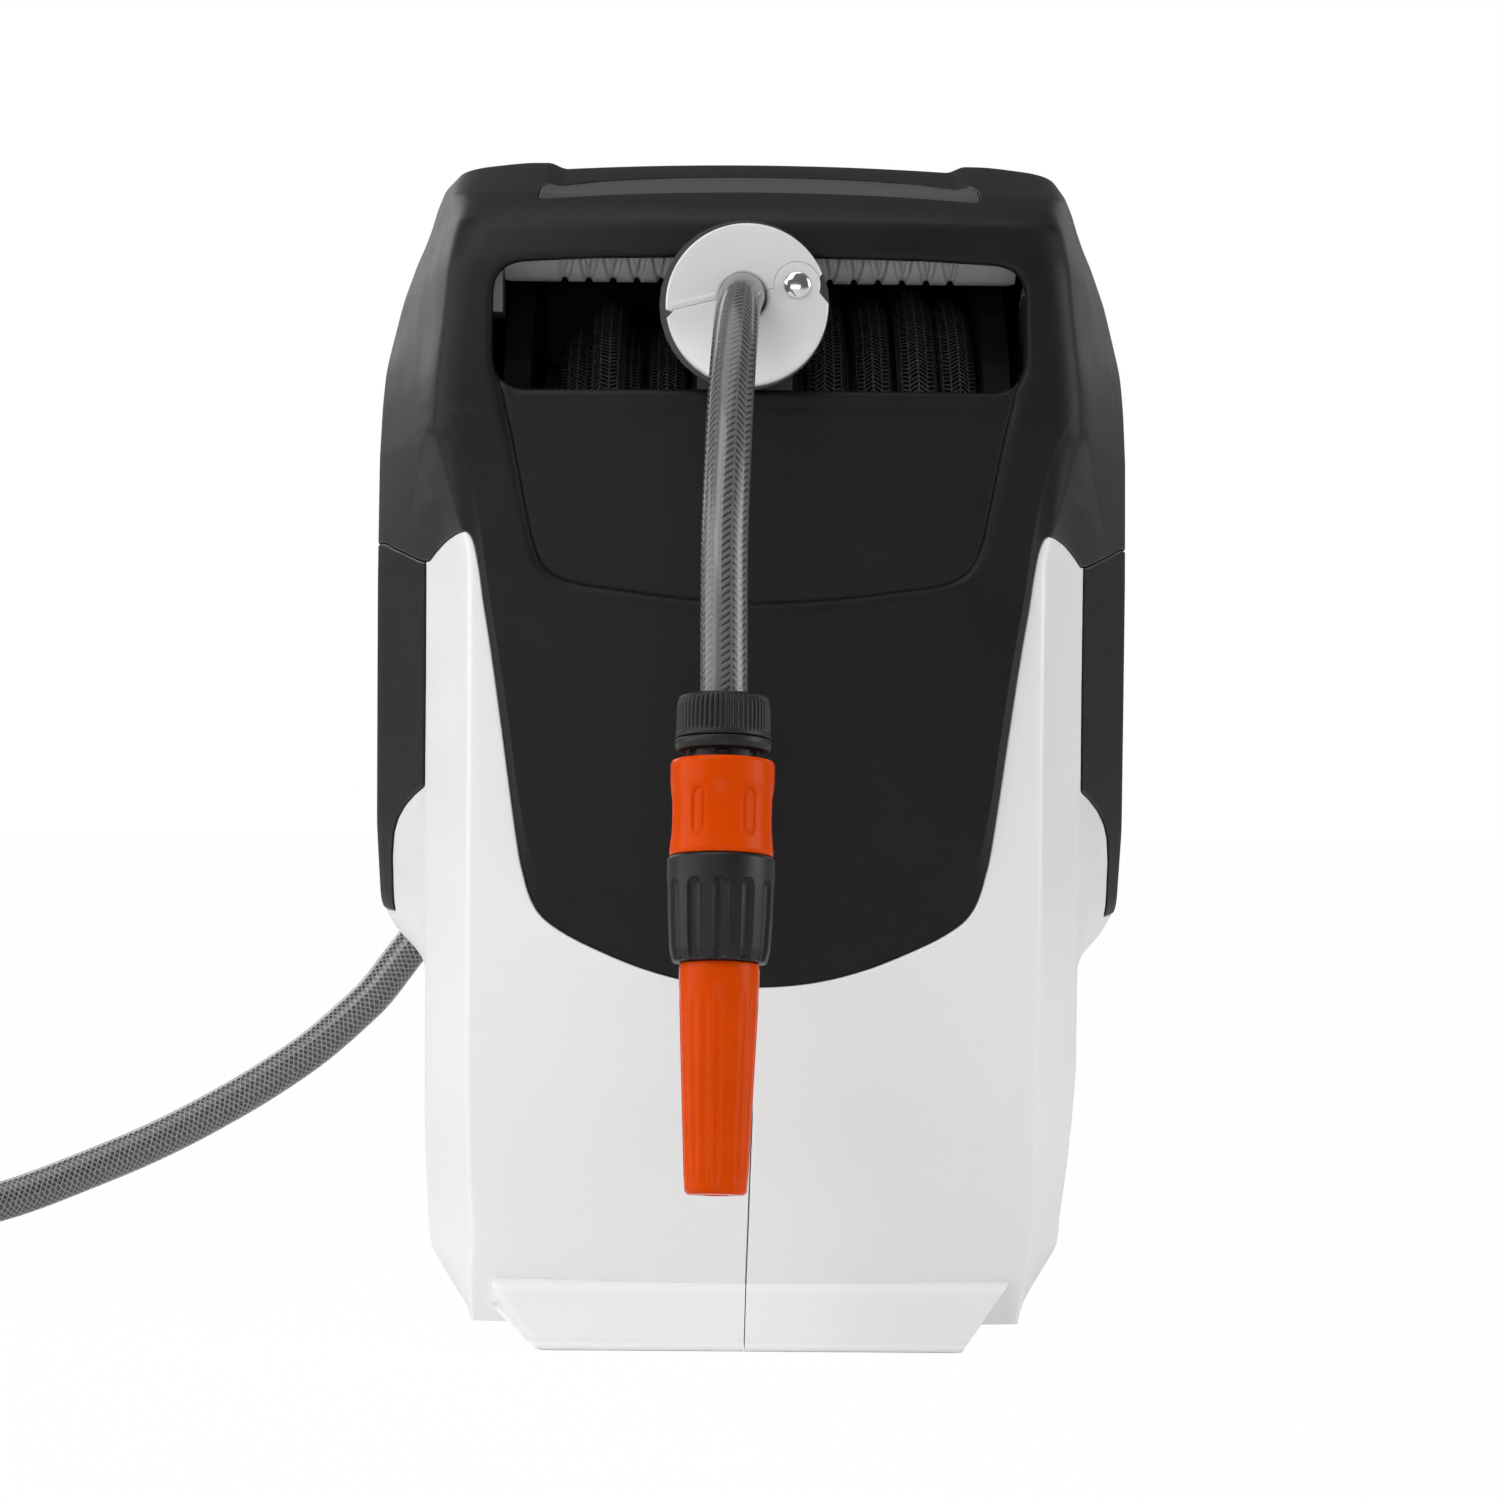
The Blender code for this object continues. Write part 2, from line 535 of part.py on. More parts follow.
# ---------------------------------------------------------------- drum
drum = empty("drum_axis", (0, 0, DRUM_Z), ROOT)
turned("drum_core", [(CORE_R, 0.0854), (CORE_R, -0.0854), (0.1130, -0.0854), (0.1130, 0.0854)], 36, "drum", 'X',
       parent=drum, closed=True)
turned("left_flange", [(0.0145, -0.0857), (FLANGE_R, -0.0857), (FLANGE_R, -0.0957), (0.164, -0.0957),
                       (0.164, -0.0895), (0.030, -0.0895), (0.030, -0.0975), (0.0145, -0.0975)], 32, "drum", 'X',
       parent=drum, closed=True)
turned("right_flange", [(FLANGE_R, 0.0957), (FLANGE_R, 0.0857), (0.0145, 0.0857), (0.0145, 0.1027),
                        (0.030, 0.1027), (0.030, 0.0895), (0.164, 0.0895), (0.164, 0.0957)], 32, "drum", 'X',
       parent=drum, closed=True)
turned("hose_winding", [(0.1645, 0.0850), (0.1645, 0.0005), (0.1486, 0.0005), (0.1486, -0.0850),
                        (0.1167, -0.0850), (0.1167, 0.0850)], 36, "hose", 'X', parent=drum, closed=True)
turned("spring_case", [(0.0750, 0.0852), (0.0750, 0.0280), (0.0145, 0.0280), (0.0145, 0.0305), (0.0725, 0.0305),
                       (0.0725, 0.0852)], 24, "steel", 'X', parent=drum, closed=True)
turned("drum_feed_pipe", [(0.0080, 0.1116), (0.0080, 0.0165), (0.0055, 0.0165), (0.0055, 0.1116)], 14, "brass",
       'Z', parent=drum, loc=(-0.060, 0, 0), closed=True)

# mainspring: a strip wound in a spiral
bm = bmesh.new()
turns, per = 5, 12
line = []
for k in range(turns * per + 1):
    a = 2 * math.pi * k / per
    rr = 0.0185 + (0.0700 - 0.0185) * k / (turns * per)
    line.append(bm.verts.new((rr * math.cos(a), rr * math.sin(a), 0.034)))
strip = [bm.edges.new((a, b)) for a, b in zip(line, line[1:])]
made = bmesh.ops.extrude_edge_only(bm, edges=strip)
bmesh.ops.translate(bm, vec=(0, 0, 0.045), verts=[v for v in made["geom"] if isinstance(v, bmesh.types.BMVert)])
spring_mesh = bpy.data.meshes.new("mainspring")
bm.to_mesh(spring_mesh)
bm.free()
spring = add("mainspring", spring_mesh, "steel", parent=drum, rot=(0, math.pi / 2, 0))
thick = spring.modifiers.new("thick", 'SOLIDIFY')
thick.thickness = 0.0012
thick.offset = 0.0

# gears: the drum gear, two idlers and the screw gear stand in one line
line_angle = math.atan2(SCREW_Z - DRUM_Z, SCREW_Y)
step_i = math.pi / TEETH_IDLER
GEAR_T = (0.1030, 0.1100)
add("drum_gear", plate(gear_outline(TEETH_DRUM, line_angle), [circle(0, 0, 0.0145, 20)], *GEAR_T, 'YZ'), "white",
    parent=drum)
idler_a_axis = empty("idler_a_axis", (0, *IDLER_A), ROOT)
add("idler_gear_a", plate(gear_outline(TEETH_IDLER, line_angle + math.pi + step_i), [circle(0, 0, 0.0043, 12)],
                          *GEAR_T, 'YZ'), "white", parent=idler_a_axis)
idler_b_axis = empty("idler_b_axis", (0, *IDLER_B), ROOT)
add("idler_gear_b", plate(gear_outline(TEETH_IDLER, line_angle + math.pi), [circle(0, 0, 0.0043, 12)],
                          *GEAR_T, 'YZ'), "white", parent=idler_b_axis)
screw_axis = empty("screw_axis", (0, SCREW_Y, SCREW_Z), ROOT)
add("screw_gear", plate(gear_outline(TEETH_SCREW, line_angle + math.pi + math.pi / TEETH_SCREW),
                        [circle(0, 0, 0.0053, 14)], *GEAR_T, 'YZ'), "white", parent=screw_axis)
turned("traverse_screw", [(0, 0.1160), (0.0050, 0.1160), (0.0050, 0.0928), (0.0080, 0.0925), (0.0080, -0.0925),
                          (0.0050, -0.0928), (0.0050, -0.1105), (0, -0.1105)], 24, "white", 'X',
       parent=screw_axis)

# ratchet wheel on the drum's left hub, and its pawl
wheel = []
for k in range(16):
    a = 2 * math.pi * k / 16
    wheel += [(0.0300 * math.cos(a), 0.0300 * math.sin(a)),
              (0.0262 * math.cos(a + 0.06), 0.0262 * math.sin(a + 0.06))]
add("ratchet_wheel", plate(wheel, [circle(0, 0, 0.0145, 20)], -0.1027, -0.0980, 'YZ'), "steel", parent=drum)
pawl_axis = empty("pawl_axis", (0, 0.046, 0.268), ROOT)
pawl = [(0.006, 0.0), (0.0042, 0.0042), (0.0, 0.006), (-0.018, 0.0155), (-0.035, 0.0165), (-0.035, 0.0125),
        (-0.019, 0.0095), (-0.0055, -0.0035), (0.0, -0.006), (0.0045, -0.004)]
add("pawl", plate(pawl, [circle(0, 0, 0.0029, 12)], -0.1025, -0.0985, 'YZ'), "steel", parent=pawl_axis)
add("pawl_pin", rod((-0.1112, 0.046, 0.268), (-0.0970, 0.046, 0.268), 0.0025, 12), "steel")

# ---------------------------------------------------------------- carriage
carriage = empty("carriage_frame", (0, 0, 0), ROOT)
body_outline = [(-0.1115, 0.4165), (-0.1400, 0.4165), (-0.1400, 0.4100), (-0.1700, 0.4000), (-0.1720, 0.3700),
                (-0.1690, 0.3300), (-0.1550, 0.3300), (-0.1480, 0.3520), (-0.1330, 0.3715), (-0.1115, 0.3808)]
body = add("carriage_body", plate(body_outline, [circle(SCREW_Y, SCREW_Z, 0.0084, 24),
                                                 circle(ROD_Y, ROD_Z, 0.0043, 16)],
                                  CAR_X - 0.0175, CAR_X + 0.0175, 'YZ'), "black", parent=carriage)
# the hose's path from the winding to the stopper, also the way through the carriage
feed = []
for deg in (92, 95, 98, 101, 104, 107):
    a = math.radians(deg)
    feed.append((CAR_X, 0.1732 * math.cos(a), DRUM_Z + 0.1732 * math.sin(a)))
feed += [(CAR_X, -0.075, 0.4028), (CAR_X, -0.100, 0.3948), (CAR_X - 0.0002, -0.1255, 0.3880),
         (CAR_X - 0.0005, -0.150, 0.3862), (CAR_X - 0.0009, -0.175, 0.3853), (EXIT[0], -0.1988, 0.3850)]
hose_way = cutter("hose_way", tube_mesh(smooth_line(feed[7:] + [(EXIT[0], -0.215, 0.3849)], 14), 0.0086, 4),
                  carriage)
boolean(body, hose_way)
boolean(body, cutter("roller_pocket", box(CAR_X - 0.0136, CAR_X + 0.0136, -0.1556, -0.1444, 0.3672, 0.3860),
                     carriage))
boolean(body, cutter("roller_bore", rod((CAR_X - 0.03, -0.150, 0.3728), (CAR_X + 0.03, -0.150, 0.3728), 0.0023, 12),
                     carriage))
boolean(body, cutter("pin_bore", rod((CAR_X, SCREW_Y, 0.411), (CAR_X, SCREW_Y, 0.43), 0.0038, 16), carriage))
turned("follower_pin", [(0, 0.4185), (0.0055, 0.4185), (0.0055, 0.4168), (0.0035, 0.4168), (0.0035, 0.4141),
                        (0, 0.4141)], 16, "steel", 'Z', parent=carriage, loc=(CAR_X, SCREW_Y, 0))
roller_axis = empty("roller_axis", (CAR_X, -0.150, 0.3728), carriage)
turned("guide_roller", [(0, 0.0165), (0.0020, 0.0165), (0.0020, 0.0130), (0.0050, 0.0130), (0.0050, -0.0130),
                        (0.0020, -0.0130), (0.0020, -0.0165), (0, -0.0165)], 16, "white", 'X', parent=roller_axis)

# outlet ring and its neck
ring_c = (-0.0056, 0.3827)
outlet = add("outlet_ring", plate(circle(*ring_c, 0.0309, 32), [], -0.1925, -0.1880, 'XZ'), "black",
             parent=carriage)
boolean(outlet, cutter("neck", box(CAR_X - 0.0190, CAR_X + 0.0190, -0.1895, -0.1723, 0.3600, 0.3960), carriage),
        'UNION')
boolean(outlet, hose_way)

# stopper: two jaws that hinge on a rivet, halved where they overlap
FRONT, MID_F, MID_R, BACK = -0.1995, -0.1963, -0.1960, -0.1928


def split_z(x):
    """Height of the split line at x, both from the disc centre."""
    table = ((-0.040, -0.0055), (-0.0105, 0.0007), (0.0100, 0.0026), (0.040, 0.0010))
    for (xa, za), (xb, zb) in zip(table, table[1:]):
        if x <= xb:
            return za + (zb - za) * (x - xa) / (xb - xa)
    return table[-1][1]


split = [(x, split_z(x)) for x in (-0.040, -0.0105, 0.0100, 0.040)]
above = [(DISC_X + x, DISC_Z + z + 0.00015) for x, z in split] + [(0.05, 0.45), (-0.05, 0.45)]
below = [(DISC_X + x, DISC_Z + z - 0.00015) for x, z in split] + [(0.05, 0.32), (-0.05, 0.32)]
disc_edge = [(0.0, FRONT), (0.0278, FRONT), (DISC_R, FRONT + 0.0017), (DISC_R, BACK), (0.0, BACK)]


def disc_piece(name, parent, loc):
    """The disc's domed rim profile turned about Y; its profile runs down from the back to the front."""
    pts = [(0.0, BACK), (DISC_R, BACK), (DISC_R, FRONT + 0.0017), (0.0278, FRONT), (0.0, FRONT)]
    return turned(name, pts, 36, "white", 'Y', parent=parent, loc=loc)


hose_hole = cutter("hose_hole", rod((EXIT[0], -0.21, EXIT[2]), (EXIT[0], -0.18, EXIT[2]), 0.0086, 28), carriage)
pin_hole = cutter("rivet_hole", rod((RIVET_X, -0.21, RIVET_Z), (RIVET_X, -0.18, RIVET_Z), 0.0029, 16), carriage)


def ear(tag, r, y0, y1):
    return cutter(tag, plate(circle(RIVET_X, RIVET_Z, r, 28), [], y0, y1, 'XZ'), carriage)


upper = disc_piece("stopper_upper", carriage, (DISC_X, 0, DISC_Z))
boolean(upper, cutter("above", plate(above, [], -0.21, -0.18, 'XZ'), carriage), 'INTERSECT')
boolean(upper, ear("ear_front", 0.0085, FRONT + 0.0001, MID_F), 'UNION')
boolean(upper, ear("ear_rear_room", 0.0089, MID_F, -0.18))
notch = [(RIVET_X + rr * math.cos(a), RIVET_Z + rr * math.sin(a)) for rr, aa in ((0.0086, (-50, -25, 0, 22)),
                                                                               (0.030, (22, 0, -25, -50)))
         for a in [math.radians(v) for v in aa]]
boolean(upper, cutter("notch", plate(notch, [], -0.21, -0.18, 'XZ'), carriage))
boolean(upper, hose_hole)
boolean(upper, pin_hole)

jaw_axis = empty("jaw_axis", (RIVET_X, -0.1962, RIVET_Z), carriage)
lower = disc_piece("stopper_lower", jaw_axis, (DISC_X - RIVET_X, 0.1962, DISC_Z - RIVET_Z))
boolean(lower, cutter("below", plate(below, [], -0.21, -0.18, 'XZ'), carriage), 'INTERSECT')
boolean(lower, ear("ear_front_room", 0.0089, -0.21, MID_R))
boolean(lower, ear("ear_rear", 0.0085, MID_R, BACK - 0.0001), 'UNION')
boolean(lower, hose_hole)
boolean(lower, pin_hole)
turned("stopper_rivet", [(0, -0.1932), (0.0026, -0.1932), (0.0026, -0.1998), (0.0052, -0.1998),
                         (0.0046, -0.2008), (0.0026, -0.2014), (0, -0.2015)], 20, "steel", 'Y', parent=carriage,
       loc=(RIVET_X, 0, RIVET_Z))

# hose between the winding and the stopper
add("feed_hose", tube_curve("feed_hose", smooth_line(feed, 26), HOSE_R), "hose", parent=carriage)

# front hose: straight out of the stopper, over in one bend, down to the nut
bez = [(EXIT[1], EXIT[2]), (-0.267, 0.385), (FIT_TOP.y - FIT_DIR.y * 0.085, FIT_TOP.z - FIT_DIR.z * 0.085),
       (FIT_TOP.y, FIT_TOP.z)]
xs = ((0.0, -0.0061), (0.05, -0.00625), (0.22, -0.0083), (0.52, -0.0109), (0.78, -0.0127), (1.0, FIT_TOP.x))
dense = []
for k in range(121):
    t = k / 120
    w = ((1 - t) ** 3, 3 * t * (1 - t) ** 2, 3 * t * t * (1 - t), t ** 3)
    yy = sum(a * b[0] for a, b in zip(w, bez))
    zz = sum(a * b[1] for a, b in zip(w, bez))
    for (ta, xa), (tb, xb) in zip(xs, xs[1:]):
        if ta <= t <= tb:
            s = (t - ta) / (tb - ta)
            xx = xa + (xb - xa) * s
    dense.append(Vector((xx, yy, zz)))
dense = [dense[0]] + [(dense[k - 1] + dense[k] + dense[k + 1]) / 3 for k in range(1, 120)] + [dense[-1]]
dense.append(FIT_TOP + FIT_DIR * 0.0120)
add("front_hose", tube_curve("front_hose", even(dense, 40), HOSE_R), "hose", parent=carriage)

# ---------------------------------------------------------------- fittings on the front hose
fit_axis = empty("fitting_axis", tuple(FIT_TOP), carriage,
                 Vector((0, 0, -1)).rotation_difference(FIT_DIR).to_matrix())
turned("hose_nut", [(0.0149, 0.0), (0.0161, -0.0030), (0.0161, -0.01455), (0.0084, -0.01455), (0.0084, 0.0)],
       28, "black", 'Z', parent=fit_axis, closed=True)
turned("connector_body", [(0.0163, -0.01485), (0.0163, -0.0187), (0.0120, -0.0187), (0.0120, -0.0535),
                          (0.0060, -0.0535), (0.0060, -0.01485)], 28, "black", 'Z', parent=fit_axis, closed=True)
turned("nozzle_grip", [(0.0172, -0.0546), (0.0180, -0.0560), (0.0180, -0.0640), (0.0159, -0.0900),
                       (0.0113, -0.0900), (0.0113, -0.0700), (0.0060, -0.0700), (0.0060, -0.0546)], 28, "black",
       'Z', parent=fit_axis, closed=True)
collar_axis = empty("collar_axis", (0, 0, 0), fit_axis)
turned("connector_collar", [(0.0166, -0.0220), (0.0174, -0.0230), (0.0168, -0.0380), (0.0174, -0.0533),
                            (0.0166, -0.0543), (0.0124, -0.0543), (0.0124, -0.0220)], 28, "orange", 'Z',
       parent=collar_axis, closed=True)
nozzle_axis = empty("nozzle_axis", (0, 0, 0), fit_axis)
turned("nozzle_tube", [(0.0109, -0.0705), (0.0109, -0.0903), (0.0134, -0.0903), (0.0108, -0.1640),
                       (0.0090, -0.1664), (0.0050, -0.1672), (0.0030, -0.1672), (0.0030, -0.0705)], 28, "orange",
       'Z', parent=nozzle_axis, closed=True)

# ---------------------------------------------------------------- leader hose and its coil
n_out = Vector((0.338, -0.941, 0)).normalized()
t_in = Vector((-0.941, -0.338, 0)).normalized()
centre = Vector((COIL[0], COIL[1], 0))
Q = centre + n_out * 0.080 + Vector((0, 0, 0.0219))
leader = [tuple(GROMMET_A + GROMMET_D * 0.0010), tuple(GROMMET_A + GROMMET_D * 0.0187),
          (-0.1449, 0.100, 0.1339), (-0.1575, 0.0949, 0.1169), (-0.1657, 0.0916, 0.1085),
          (-0.1748, 0.0879, 0.1001), (-0.1848, 0.0838, 0.0917), (-0.1964, 0.0791, 0.0835),
          (-0.2091, 0.0738, 0.0753), (-0.2232, 0.0680, 0.0672), (-0.2382, 0.0617, 0.0592),
          (-0.2551, 0.0547, 0.0513), (-0.2744, 0.0465, 0.0435), (-0.2943, 0.0380, 0.0359),
          (-0.3082, 0.0320, 0.0316), (-0.3275, 0.0238, 0.0273)]
join = Q - t_in * 0.0563
join.z = 0.0250
add("leader_hose", tube_curve("leader_hose", smooth_line(leader + [tuple(join)], 44), HOSE_R), "hose")

stub_a = Q - t_in * 0.0560
stub_a.z = 0.02498
stub_m = Q - t_in * 0.028
stub_m.z = 0.02280
stub_e = Q + t_in * 0.006 - n_out * 0.0006
stub_e.z = 0.0219
tail_a = centre + n_out * 0.0875 + Vector((0, 0, 0.0081)) - t_in * 0.01
tail_b = centre + n_out * 0.0878 + t_in * 0.020 + Vector((0, 0, 0.0083))
tail_c = centre + n_out * 0.0880 + t_in * 0.055 + Vector((0, 0, 0.0135))
tail_d = centre + n_out * 0.0880 + t_in * 0.085 + Vector((0, 0, 0.0178))
coil = turned("leader_coil", [(0.0864, 0.0301), (0.0880, 0.0288), (0.0880, 0.0166), (0.0950, 0.0165),
                              (0.0960, 0.0150), (0.0960, 0.0), (0.0640, 0.0), (0.0640, 0.0165),
                              (0.0720, 0.0166), (0.0720, 0.0301)], 36, "hose", 'Z', loc=(COIL[0], COIL[1], 0),
              closed=True)
boolean(coil, cutter("stub_in", tube_mesh([stub_a, stub_m, Q, stub_e], HOSE_R, 1)), 'UNION')
boolean(coil, cutter("stub_tail", tube_mesh(smooth_line([tuple(tail_a), tuple(tail_b), tuple(tail_c),
                                                        tuple(tail_d)], 8), HOSE_R - 0.00005, 1)), 'UNION')
tail_frame = empty("leader_end_axis", tuple(tail_d), ROOT,
                   Vector((0, 0, 1)).rotation_difference(t_in).to_matrix())
turned("leader_nut", [(0.0161, 0.0160), (0.0161, 0.0035), (0.0149, 0.0012), (0.0050, 0.0012), (0.0050, 0.0160)],
       24, "black", 'Z', parent=tail_frame, closed=True)
turned("leader_collar", [(0.0166, 0.0480), (0.0174, 0.0470), (0.0168, 0.0320), (0.0174, 0.0175),
                         (0.0166, 0.0163), (0.0080, 0.0163), (0.0080, 0.0480)], 24, "orange", 'Z',
       parent=tail_frame, closed=True)

# ---------------------------------------------------------------- wall bracket
bracket = add("pivot_bracket", box(-0.030, 0.030, 0.1893, 0.1925, 0.145, 0.345), "steel")
boolean(bracket, cutter("lug_low", box(-0.009, 0.009, 0.1910, 0.2335, 0.150, 0.160)), 'UNION')
boolean(bracket, cutter("lug_high", box(-0.009, 0.009, 0.1910, 0.2335, 0.330, 0.340)), 'UNION')
boolean(bracket, cutter("lug_bore", rod((0, PIN_Y, 0.10), (0, PIN_Y, 0.40), 0.0053, 16)))
turned("pivot_pin", [(0, 0.3560), (0.0080, 0.3560), (0.0080, 0.3520), (0.0050, 0.3520), (0.0050, 0.1400),
                     (0, 0.1400)], 16, "steel", 'Z', loc=(0, PIN_Y, 0))
bracket_axis = empty("bracket_axis", (0, PIN_Y, 0), ROOT)
wall = add("wall_bracket", box(-0.030, 0.030, 0.0250, 0.0290, 0.120, 0.370), "steel", parent=bracket_axis)
boolean(wall, cutter("arm_low", box(-0.009, 0.009, -0.009, 0.0270, 0.1605, 0.1685), bracket_axis), 'UNION')
boolean(wall, cutter("arm_high", box(-0.009, 0.009, -0.009, 0.0270, 0.3215, 0.3295), bracket_axis), 'UNION')
boolean(wall, cutter("arm_bore", rod((0, 0, 0.10), (0, 0, 0.40), 0.0053, 16), bracket_axis))
for i, (x, z) in enumerate(((-0.020, 0.135), (0.020, 0.135), (-0.020, 0.355), (0.020, 0.355))):
    boolean(wall, cutter("wall_hole_%d" % i, rod((x, 0.0, z), (x, 0.05, z), 0.003, 12), bracket_axis))
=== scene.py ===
import math

import bmesh
import bpy
import numpy as np
from mathutils import Matrix, Vector
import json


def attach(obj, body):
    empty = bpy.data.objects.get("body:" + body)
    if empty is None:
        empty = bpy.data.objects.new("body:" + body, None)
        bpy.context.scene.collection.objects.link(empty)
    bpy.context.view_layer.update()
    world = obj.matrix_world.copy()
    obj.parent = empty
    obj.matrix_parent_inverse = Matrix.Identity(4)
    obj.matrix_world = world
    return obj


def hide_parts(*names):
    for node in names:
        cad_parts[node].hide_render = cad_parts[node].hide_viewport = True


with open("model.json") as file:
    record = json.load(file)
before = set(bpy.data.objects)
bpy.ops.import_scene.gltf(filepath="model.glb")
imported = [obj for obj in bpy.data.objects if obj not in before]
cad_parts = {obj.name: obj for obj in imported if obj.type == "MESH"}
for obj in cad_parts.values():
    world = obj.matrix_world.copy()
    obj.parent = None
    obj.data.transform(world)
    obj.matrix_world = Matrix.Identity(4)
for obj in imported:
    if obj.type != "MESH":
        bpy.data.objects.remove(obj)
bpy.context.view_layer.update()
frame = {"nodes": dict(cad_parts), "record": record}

scene = bpy.context.scene
scene.view_settings.view_transform = 'Standard'
scene.view_settings.look = 'None'
SHIFT = np.array([0.0, -0.02625, 0.0])      # drum-centred frame -> row frame
MM = 0.001


def V3(p):
    return np.array([p[0], p[1], p[2]], float)


# ================================================================ camera
YAW, ROLL = math.radians(0.65), math.radians(0.5)
fwd = V3((math.sin(YAW), math.cos(YAW), 0))
right = V3((math.cos(YAW), -math.sin(YAW), 0))
up = V3((0, 0, 1))
cx = right * math.cos(ROLL) + up * math.sin(ROLL)
cy = -right * math.sin(ROLL) + up * math.cos(ROLL)
eye = V3((-0.0203, -1.7916, 0.2211)) + SHIFT
cam_data = bpy.data.cameras.new("camera")
cam_data.lens = 105.6
cam_data.sensor_width = 36.0
cam_data.clip_start, cam_data.clip_end = 0.05, 60.0
cam = bpy.data.objects.new("camera", cam_data)
scene.collection.objects.link(cam)
cam.matrix_world = Matrix(((cx[0], cy[0], -fwd[0], eye[0]), (cx[1], cy[1], -fwd[1], eye[1]),
                           (cx[2], cy[2], -fwd[2], eye[2]), (0, 0, 0, 1)))
scene.camera = cam


# ================================================================ materials
def new_mat(name, base, rough, metal=0.0, coat=0.0, coat_rough=0.03, ior=1.5):
    m = bpy.data.materials.new(name)
    m.use_nodes = True
    nt = m.node_tree
    sh = next(n for n in nt.nodes if n.type == 'BSDF_PRINCIPLED')
    sh.inputs["Base Color"].default_value = (*base, 1.0)
    sh.inputs["Roughness"].default_value = rough
    sh.inputs["Metallic"].default_value = metal
    sh.inputs["IOR"].default_value = ior
    sh.inputs["Coat Weight"].default_value = coat
    sh.inputs["Coat Roughness"].default_value = coat_rough
    m.diffuse_color = (*base, 1.0)
    return m, nt, sh


def node(nt, kind, **values):
    n = nt.nodes.new(kind)
    for k, v in values.items():
        if k in n.inputs:
            n.inputs[k].default_value = v
        else:
            setattr(n, k, v)
    return n


def math_node(nt, op, a, b=None, c=None, clamp=False):
    n = nt.nodes.new("ShaderNodeMath")
    n.operation = op
    n.use_clamp = clamp
    for i, v in enumerate((a, b, c)):
        if v is None:
            continue
        if isinstance(v, (int, float)):
            n.inputs[i].default_value = v
        else:
            nt.links.new(v, n.inputs[i])
    return n.outputs[0]


def ramp(nt, value, lo, hi, a, b, smooth=True):
    n = nt.nodes.new("ShaderNodeMapRange")
    n.interpolation_type = 'SMOOTHSTEP' if smooth else 'LINEAR'
    nt.links.new(value, n.inputs["Value"])
    n.inputs["From Min"].default_value = lo
    n.inputs["From Max"].default_value = hi
    n.inputs["To Min"].default_value = a
    n.inputs["To Max"].default_value = b
    return n.outputs["Result"]


def mix_colour(nt, fac, a, b):
    n = nt.nodes.new("ShaderNodeMix")
    n.data_type = 'RGBA'
    if isinstance(fac, (int, float)):
        n.inputs[0].default_value = fac
    else:
        nt.links.new(fac, n.inputs[0])
    for i, v in ((6, a), (7, b)):
        if isinstance(v, tuple):
            n.inputs[i].default_value = (*v, 1.0)
        else:
            nt.links.new(v, n.inputs[i])
    return n.outputs[2]


def plastic(name, base, rough, grain=1400.0, grain_depth=0.00006, vary=0.12, rough_vary=0.08, coat=0.0,
            coat_rough=0.05, mottle=35.0, metal=0.0, spec=0.5, inside=None):
    """Moulded plastic: fine grain in the normal, cloudy change of tone and of gloss."""
    m, nt, sh = new_mat(name, base, rough, metal, coat, coat_rough)
    sh.inputs["Specular IOR Level"].default_value = spec
    tc = nt.nodes.new("ShaderNodeTexCoord").outputs["Object"]
    cloud = node(nt, "ShaderNodeTexNoise", Scale=mottle, Detail=4.0, Roughness=0.6)
    nt.links.new(tc, cloud.inputs["Vector"])
    fine = node(nt, "ShaderNodeTexNoise", Scale=grain, Detail=2.0, Roughness=0.55)
    nt.links.new(tc, fine.inputs["Vector"])
    dark = tuple(c * (1 - vary) for c in base)
    light = tuple(min(1.0, c * (1 + vary)) for c in base)
    tone = ramp(nt, cloud.outputs["Fac"], 0.3, 0.7, 0.0, 1.0)
    speck = ramp(nt, fine.outputs["Fac"], 0.3, 0.7, 0.25, 0.75, False)
    both = math_node(nt, 'MULTIPLY_ADD', tone, 0.5, math_node(nt, 'MULTIPLY', speck, 0.5))
    col = mix_colour(nt, both, dark, light)
    if inside is not None:
        # the inner side of a moulding: a lighter grey painted in as light reaching the inside of the housing, with a
        # cloudy change of tone
        inner = nt.nodes.new("ShaderNodeAttribute")
        inner.attribute_name = "inner"
        inner_painted_light = mix_colour(nt, tone, tuple(c * 0.8 for c in inside), inside)
        col = mix_colour(nt, inner.outputs["Fac"], col, inner_painted_light)
    nt.links.new(col, sh.inputs["Base Color"])
    nt.links.new(ramp(nt, cloud.outputs["Fac"], 0.25, 0.75, rough - rough_vary, rough + rough_vary),
                 sh.inputs["Roughness"])
    bump = node(nt, "ShaderNodeBump", Strength=1.0, Distance=grain_depth)
    nt.links.new(fine.outputs["Fac"], bump.inputs["Height"])
    nt.links.new(bump.outputs["Normal"], sh.inputs["Normal"])
    return m


